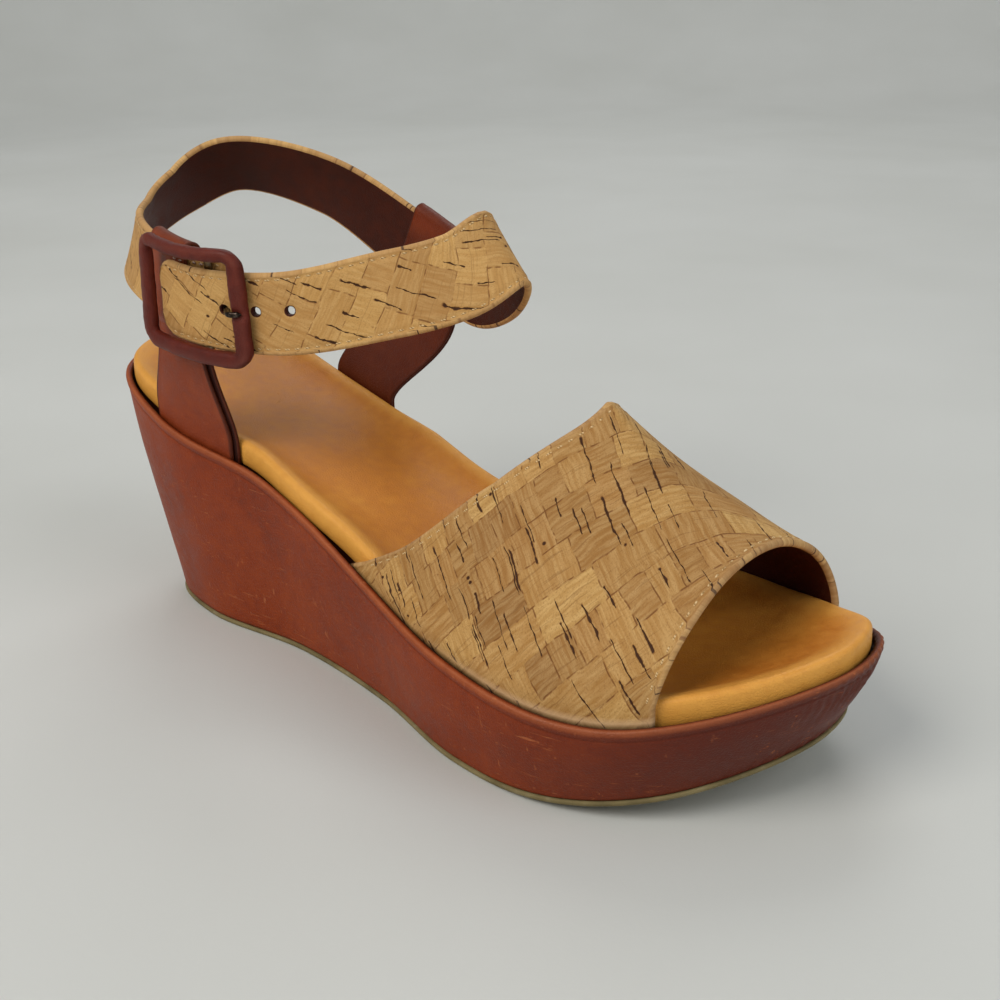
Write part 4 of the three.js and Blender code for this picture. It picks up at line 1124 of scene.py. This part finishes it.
def ankle_strap():
    start = STRAP_START
    length = GIRTH + start + FREE_END_TIP
    runs = graded(length, *BAND_GRADING, BAND_STEPS)
    heights = graded(STRAP_WIDTH, *BAND_SIDE_GRADING, 8) - STRAP_WIDTH / 2
    risen, level = BUCKLE_LENGTH / 2 + STRAP_RISEN, BUCKLE_LENGTH / 2 + STRAP_LEVEL

    def surface(run, rise, out):
        """A point on the band by its place on the unrolled strap."""
        forward = start - run
        end = FREE_END_CORNER - np.clip(length - run, 0, FREE_END_CORNER)
        narrowed = FREE_END_CORNER - np.sqrt(FREE_END_CORNER**2 - end**2)
        free = 1 - smooth(forward + GIRTH, risen, level)
        share = 1 - narrowed / (STRAP_WIDTH / 2) - FREE_END_NARROWED * free
        height = rise * share - FREE_END_DROP * free
        return band_point(BUCKLE_AT - forward, height, FREE_END_DEPTH * free + out)

    grid, outward = row_on(surface, runs[:, None], heights[None, :], 0)
    if (grid_normals(grid) * outward).sum() < 0:
        grid, heights = grid[:, ::-1], heights[::-1]
    run, rise = np.broadcast_arrays(runs[:, None], heights[None, :])
    from_side = STRAP_WIDTH / 2 - np.abs(rise)
    from_edge = np.minimum(np.minimum(run, length - run), from_side)
    relief = 0.1 * smooth(from_side, 4.0, 3.0) - STITCH_GROOVE * hump(from_side, BAND_STITCH_IN, 0.7)
    sheet = thick_sheet(grid, STRAP_WALL, relief)
    first = start + GIRTH - HOLE_FROM_MIDDLE
    holes = [(first - k * HOLE_PITCH, HOLE_RISE) for k in range(FREE_HOLES + 1)]
    points, faces, kinds, source, places = pierced(runs, heights, holes, sheet, surface, STRAP_WALL)
    round_holes = triple(places[:, 0], places[:, 1] + SHEET_SHIFT, STRAP_WIDTH / 2)
    # The edges are painted paler: partly a pale edge, partly a painted highlight.
    pale_edge_and_highlight = triple(0.15 * hump(from_edge, 0, 0.8))[source]
    layers = {
        "sheet": np.concatenate([triple(run, rise + SHEET_SHIFT, from_edge)[source], round_holes]),
        "wear": np.concatenate([pale_edge_and_highlight, np.zeros_like(round_holes)]),
    }
    materials = [strap_cork, lining_leather]
    make("ankle_band", points, faces, materials, ["ankle_strap"], layers, kinds)
    inside = runs[(runs > 2.5) & (runs < length - 3.5)]
    height = STRAP_WIDTH / 2 - BAND_STITCH_IN
    for sign, name in ((1, "ankle_band_upper_stitches"), (-1, "ankle_band_lower_stitches")):
        row = row_on(surface, inside, sign * height, STRAP_WALL / 2 - STITCH_GROOVE - 0.06)
        sew(name, [row], BAND_STITCH, cork_thread)


# Side tabs
def bezier(a, b, c, d, share):
    rest = 1 - share
    return a * rest**3 + b * 3 * rest**2 * share + c * 3 * rest * share**2 + d * share**3


# First step, fine step and width of the fine margin along a tab's sides.
TAB_GRADING = (0.8, 0.5, 2.4)
# Half the length of the seam under the strap.
SEAM_REACH = 4.6
HALF_LOOP = STRAP_WIDTH / 2 + CLEARANCE
HALF_SLOT = STRAP_WALL / 2 + CLEARANCE
# Where a tab's two layers meet under the strap.
TAB_MEETING = -HALF_LOOP - HALF_SLOT


def tab_strip(tab, shares, climb, proud):
    """The way up from the groove to the strap, for a layer that stands proud in front."""
    forwards = -1 if tab["side"] == "lateral" else 1
    middle = distance_at(x_at(tab["loop"]), tab["side"])
    lift = np.array([0, 0, SKIRT])
    rows = []
    for share in shares:
        at = middle + forwards * ((share - 0.5) * tab["width"] + proud * share)
        x = x_at(lerp(tab["rear"], tab["front"], share)) + proud * share
        foot = np.array([x, groove_side[tab["side"]](x), seat_height(x) + CLEARANCE], float)
        top = band_point(at, TAB_MEETING - TAB_WALL / 3, 0)
        below = band_point(at, TAB_MEETING - TAB_UPRIGHT * SKIRT, 0)
        line = [bezier(foot + lift, foot + TAB_UPRIGHT * lift, below, top, s) for s in climb]
        rows.append([foot, foot + lift * 0.5, *line])
    return np.array(rows)


def side_tab(tab, name, node):
    """A strip folded over the strap: up, over it and down again on its inner side."""
    width, proud = tab["width"], tab["proud"]
    middle = distance_at(x_at(tab["loop"]), tab["side"])
    forwards = -1 if tab["side"] == "lateral" else 1
    shares = graded(width, *TAB_GRADING, 12) / width
    climb = np.linspace(0, 1, 22)
    outer_strip, inner_strip = (tab_strip(tab, shares, climb, more) for more in (0.0, proud))
    outward = band_point(middle, 0, 1) - band_point(middle, 0, 0)
    normals = grid_normals(outer_strip)
    if normals[len(shares) // 2, -1].dot(outward) < 0:
        normals = -normals
    layer = HALF_SLOT + TAB_WALL / 2
    lap = TAB_WALL / 2 + 0.03
    ramp = np.linspace(0, 1, 7)[1:]
    arc = np.linspace(0, math.pi, 13)
    sides = np.linspace(-HALF_LOOP + 1.5, HALF_LOOP, 16)
    rises = lerp(TAB_MEETING - TAB_WALL / 3, -HALF_LOOP + 1.5, ramp)
    depths = lerp(lap, layer, smooth(ramp, 0, 1))
    grid = []
    for i, share in enumerate(shares):
        at = middle + forwards * (share - 0.5) * width
        turned = at + forwards * proud * share * (1 - np.cos(arc)) / 2
        grid.append(np.concatenate([
            outer_strip[i] + normals[i] * lap,
            band_point(at, rises, depths),
            band_point(at, sides[1:], layer),
            band_point(turned, HALF_LOOP + layer * np.sin(arc), layer * np.cos(arc))[1:-1],
            band_point(turned[-1], sides[::-1], -layer),
            band_point(turned[-1], rises[-2::-1], -depths[-2::-1]),
            (inner_strip[i] - normals[i] * lap)[::-1],
        ]))
    grid = np.array(grid)
    if grid_normals(grid)[len(shares) // 2, 30].dot(outward) < 0:
        grid, shares = grid[::-1], shares[::-1]
    run = arc_lengths(grid, 1)
    rise = np.broadcast_to((shares * width)[:, None], run.shape)
    from_side = np.minimum(rise, width - rise)
    points, faces, kinds, source = thick_sheet(grid, TAB_WALL, -0.08 * hump(from_side, 1.6, 0.4))
    fold_at = 2 + len(climb) + len(ramp) + len(sides)
    column = np.arange(run.shape[1])[None, :]
    # Painted shade along the tab's sides, on its inner layer and at the crown of its fold.
    crown = hump(column, fold_at + len(arc) / 2 - 1, 5.0)
    inner_layer = 0.55 * smooth(column, fold_at + len(arc) - 4, fold_at + len(arc) + 4)
    shade = np.maximum(np.maximum(0.7 * hump(from_side, 0, 0.5), inner_layer), 0.5 * crown)
    layers = {"wear": triple(0.0, shade)[source]}
    make(name, points, faces, [tab_leather, lining_leather], [node], layers, kinds)


def tab_seam():
    """The short seam under the strap that holds the inner tab's fold."""
    middle = distance_at(x_at(MEDIAL_TAB["loop"]), "medial")
    places = middle + np.linspace(-SEAM_REACH, SEAM_REACH, 9)
    row = row_on(band_point, places, TAB_MEETING - 0.4, TAB_WALL + 0.15)
    sew("inner_tab_seam_stitches", [row], SEAM_STITCH, tab_thread)


# Buckle
UPPER_BAR_SLIMMER = 0.22


def squarer(values):
    return np.sign(values) * np.abs(values) ** 0.8


BUCKLE_HALF_HEIGHT = STRAP_WIDTH / 2 + BUCKLE_WINDOW_SPARE + BUCKLE_BAR / 2


def rounded_path(half_length, half_height, radius):
    """Places round a rectangle with round corners, each with its direction outwards."""
    corners = []
    for right, upper, start in ((1, 1, 0.0), (-1, 1, 0.5), (-1, -1, 1.0), (1, -1, 1.5)):
        angles = (start + np.arange(11) / 20) * math.pi
        out = np.column_stack([np.cos(angles), np.sin(angles)])
        middle = (right * (half_length - radius), upper * (half_height - radius))
        corners.append(np.column_stack([middle + out * radius, out]))
    shares = np.arange(1, 22)[:, None] / 22
    path = []
    for corner, after in zip(corners, corners[1:] + corners[:1]):
        straight = lerp(corner[-1, :2], after[0, :2], shares)
        path += [corner, np.column_stack([straight, np.tile(corner[-1, 2:], (len(shares), 1))])]
    return np.concatenate(path)


def buckle_cover():
    half_length = BUCKLE_LENGTH / 2 - BUCKLE_BAR / 2
    path = rounded_path(half_length, BUCKLE_HALF_HEIGHT, BUCKLE_CORNER - BUCKLE_BAR / 2)
    angles = (np.arange(22) + 0.5) / 22 * 2 * math.pi
    across = BUCKLE_BAR / 2 * squarer(np.cos(angles))
    depth = BUCKLE_THICKNESS / 2 * squarer(np.sin(angles))
    # A paler band along the frame's outer crest, more at the corners: partly rubbing, partly a painted
    # highlight.
    pale_edge_and_highlight = 0.35 * hump(np.arctan2(depth, across), math.pi / 3, 0.5)
    sections, wear = [], []
    for distance, (forward, height, nx, ny) in zip(reaches(path[:, :2]), path):
        corner = abs(nx * ny) * 2
        wrinkle = 1 + 0.02 * math.sin(distance * 2.1) + 0.025 * math.sin(distance * 0.83 + 1)
        wrinkle -= 0.05 * corner * abs(math.sin(distance * 3.4))
        upper = smooth(height, BUCKLE_HALF_HEIGHT - BUCKLE_CORNER, BUCKLE_HALF_HEIGHT)
        wide = across * wrinkle * (1 - UPPER_BAR_SLIMMER * upper)
        notch = hump(height, -PRONG_DROP, 1.5) if forward > 0 and nx > 0.9 else 0.0
        level = FRAME_DEPTH + np.where(depth > 0, depth * (1 - 0.55 * notch), depth) * wrinkle
        sections.append(band_point(BUCKLE_AT - (forward + nx * wide), height + ny * wide, level))
        wear.append(pale_edge_and_highlight * (0.5 + 0.5 * corner))
    points, faces = sweep(sections, closed=True)
    # Painted shade on the back of the frame, which faces the strap.
    shade = np.tile(np.where(depth < -0.8, 0.6, 0.0), len(sections))
    layers = {"wear": triple(np.concatenate(wear), shade)}
    make("buckle_cover", points, faces, [buckle_leather], ["buckle_frame"], layers)


def buckle_centre_bar():
    low = STRAP_WALL / 2 + CLEARANCE + PIVOT_BAR_THICKNESS / 2
    edge = STRAP_WIDTH / 2 + CLEARANCE + PIVOT_BAR_THICKNESS / 2
    inner = FRAME_DEPTH - BUCKLE_THICKNESS / 2
    half = [
        (BUCKLE_HALF_HEIGHT, FRAME_DEPTH - 0.5), (edge + 0.2, inner), (edge, lerp(inner, low, 0.5)),
        (edge - 0.2, low + 0.15), (edge - 1.2, low),
    ]
    spine = np.array([(-height, level) for height, level in half] + [(0, low)] + half[::-1])
    angles = np.arange(12) / 12 * 2 * math.pi
    out = PIVOT_BAR_THICKNESS / 2 * np.sin(angles)
    distance = BUCKLE_AT - (PIVOT_BAR_FROM_MIDDLE + PIVOT_BAR_WIDTH / 2 * squarer(np.cos(angles)))
    sections = [
        band_point(distance, height - rise * out, level + run * out)
        for (height, level), (run, rise) in zip(spine, unit(np.gradient(spine, axis=0)))
    ]
    points, faces = sweep(sections)
    make("buckle_centre_bar", points, faces, [bar_metal])


def buckle_prong():
    bar_top = FRAME_DEPTH + BUCKLE_THICKNESS / 2
    root = PIVOT_BAR_FROM_MIDDLE + PIVOT_BAR_WIDTH / 2 + CLEARANCE + PRONG_THICKNESS / 2
    front = BUCKLE_LENGTH / 2 - BUCKLE_BAR / 2
    low = FREE_END_DEPTH / 2
    stops = np.array([
        (root, low), (HOLE_FROM_MIDDLE - PRONG_WIDTH, low + PRONG_THICKNESS / 3),
        (HOLE_FROM_MIDDLE, FREE_END_DEPTH), (HOLE_FROM_MIDDLE + PRONG_WIDTH, bar_top - PRONG_THICKNESS),
        (front - PRONG_WIDTH, bar_top), (front + PRONG_WIDTH / 2, bar_top - CLEARANCE),
    ])
    steps = np.sqrt(np.linalg.norm(np.diff(stops, axis=0), axis=1))
    lengths = np.concatenate([[0], np.cumsum(steps)])
    places = np.linspace(0, lengths[-1], 34)
    middle = np.column_stack([curve_through(lengths, values)(places) for values in stops.T])
    directions = unit(np.gradient(middle, axis=0))
    angles = np.arange(14) / 14 * 2 * math.pi
    sections = []
    for k, ((forward, depth), (run, rise)) in enumerate(zip(middle, directions)):
        share = k / (len(middle) - 1)
        taper = 1 - 0.28 * share - 0.5 * smooth(share, 0.93, 1.0)
        up = PRONG_THICKNESS / 2 * np.sin(angles) * taper
        side = PRONG_WIDTH / 2 * squarer(np.cos(angles)) * taper
        distance = BUCKLE_AT - (forward - rise * up)
        sections.append(band_point(distance, side - PRONG_DROP, depth + run * up))
    points, faces = sweep(sections)
    make("prong", points, faces, [prong_metal], ["buckle_prong"])


def window_stitches():
    """Stitches on the tab and on the strap's start, which show in the gap over its free end."""
    rows = []
    for first, last, depth in ((-10.2, -5.2, TAB_OUTSIDE), (-3.4, 2.0, STRAP_WALL / 2)):
        distances = BUCKLE_AT - np.linspace(first, last, 12)
        rows.append(row_on(band_point, distances, STRAP_WIDTH / 2 - 2.2, depth + 0.08))
    sew("buckle_tab_stitches", rows, WINDOW_STITCH, tab_thread)


outsole()
wedge()
footbed()
vamp()
ankle_strap()
side_tab(LATERAL_TAB, "outer_tab", "tab_lateral")
side_tab(MEDIAL_TAB, "inner_tab", "tab_medial")
tab_seam()
buckle_cover()
buckle_centre_bar()
buckle_prong()
window_stitches()


# Stage: a pale floor that curves up into a wall all round
def stage():
    s = Surface("floor_paint", Specular_IOR_Level=0.25)
    at = s.place()
    colour = s.ramp(s.noise(at, 0.004, 3.0), (0.3, "c9cac6"), (0.7, "d1d2cf"))
    material = s.finish(colour, 0.55, s.bump(s.noise(at, 0.8, 3.0), 0.03))
    profile = [(400.0, 0.0), (900.0, 0.0), (1500.0, 0.0)]
    for k in range(1, 13):
        angle = k / 12 * math.pi / 2
        profile.append((1500 + 700 * math.sin(angle), 700 * (1 - math.cos(angle))))
    profile.append((2200.0, 2600.0))
    count = 96
    middle = 80.0
    angles = np.arange(count) / count * 2 * math.pi
    points = [(middle, 0.0, 0.0)]
    faces = []
    for radius, height in profile:
        points += [(middle + radius * math.cos(a), radius * math.sin(a), height) for a in angles]
    for i in range(count):
        j = (i + 1) % count
        faces.append((0, 1 + i, 1 + j))
        for r in range(len(profile) - 1):
            low, high = 1 + r * count, 1 + (r + 1) * count
            faces.append((low + i, high + i, high + j, low + j))
    mesh = bpy.data.meshes.new("floor")
    mesh.from_pydata((np.array(points) * MM).tolist(), [], faces)
    mesh.polygons.foreach_set("use_smooth", [True] * len(mesh.polygons))
    mesh.materials.append(material)
    floor = bpy.data.objects.new("floor", mesh)
    collection.objects.link(floor)


def area_light(name, at, towards, size, energy, colour):
    data = bpy.data.lights.new(name, "AREA")
    data.shape = "DISK"
    data.size = size
    data.energy = energy
    data.color = colour
    light = bpy.data.objects.new(name, data)
    light.location = at
    light.rotation_mode = "QUATERNION"
    light.rotation_quaternion = (Vector(towards) - Vector(at)).to_track_quat("-Z", "Y")
    collection.objects.link(light)


def camera():
    up = CAMERA_RIGHT.cross(CAMERA_FORWARD)
    aim = CAMERA_FORWARD * PHOTO_FOCAL + CAMERA_RIGHT * SHOE_CENTRE[0] + up * SHOE_CENTRE[1]
    aim.normalize()
    right = (CAMERA_RIGHT - aim * CAMERA_RIGHT.dot(aim)).normalized()
    data = bpy.data.cameras.new("camera")
    data.sensor_width = SENSOR
    data.lens = FRAMED_FOCAL / FRAME_PIXELS * SENSOR
    data.clip_start = 0.01
    view = bpy.data.objects.new("camera", data)
    columns = Matrix((right, right.cross(aim), -aim)).transposed()
    view.matrix_world = Matrix.Translation(CAMERA_AT) @ columns.to_4x4()
    collection.objects.link(view)
    bpy.context.scene.camera = view


stage()
shoe = (0.08, 0.0, 0.05)
area_light("key", (-0.15, -1.25, 1.25), shoe, 1.1, 17.5, (1.0, 0.96, 0.9))
area_light("fill", (1.5, 0.1, 1.0), shoe, 1.2, 7.8, (0.95, 0.98, 1.0))
area_light("back", (-0.7, 1.1, 1.4), shoe, 1.2, 7.5, (1.0, 1.0, 1.0))
bpy.context.scene.view_settings.view_transform = "Standard"
world = bpy.data.worlds.new("soft_room")
world.use_nodes = True
world.node_tree.nodes["Background"].inputs["Color"].default_value = (0.86, 0.9, 0.95, 1.0)
world.node_tree.nodes["Background"].inputs["Strength"].default_value = 0.42
bpy.context.scene.world = world
camera()
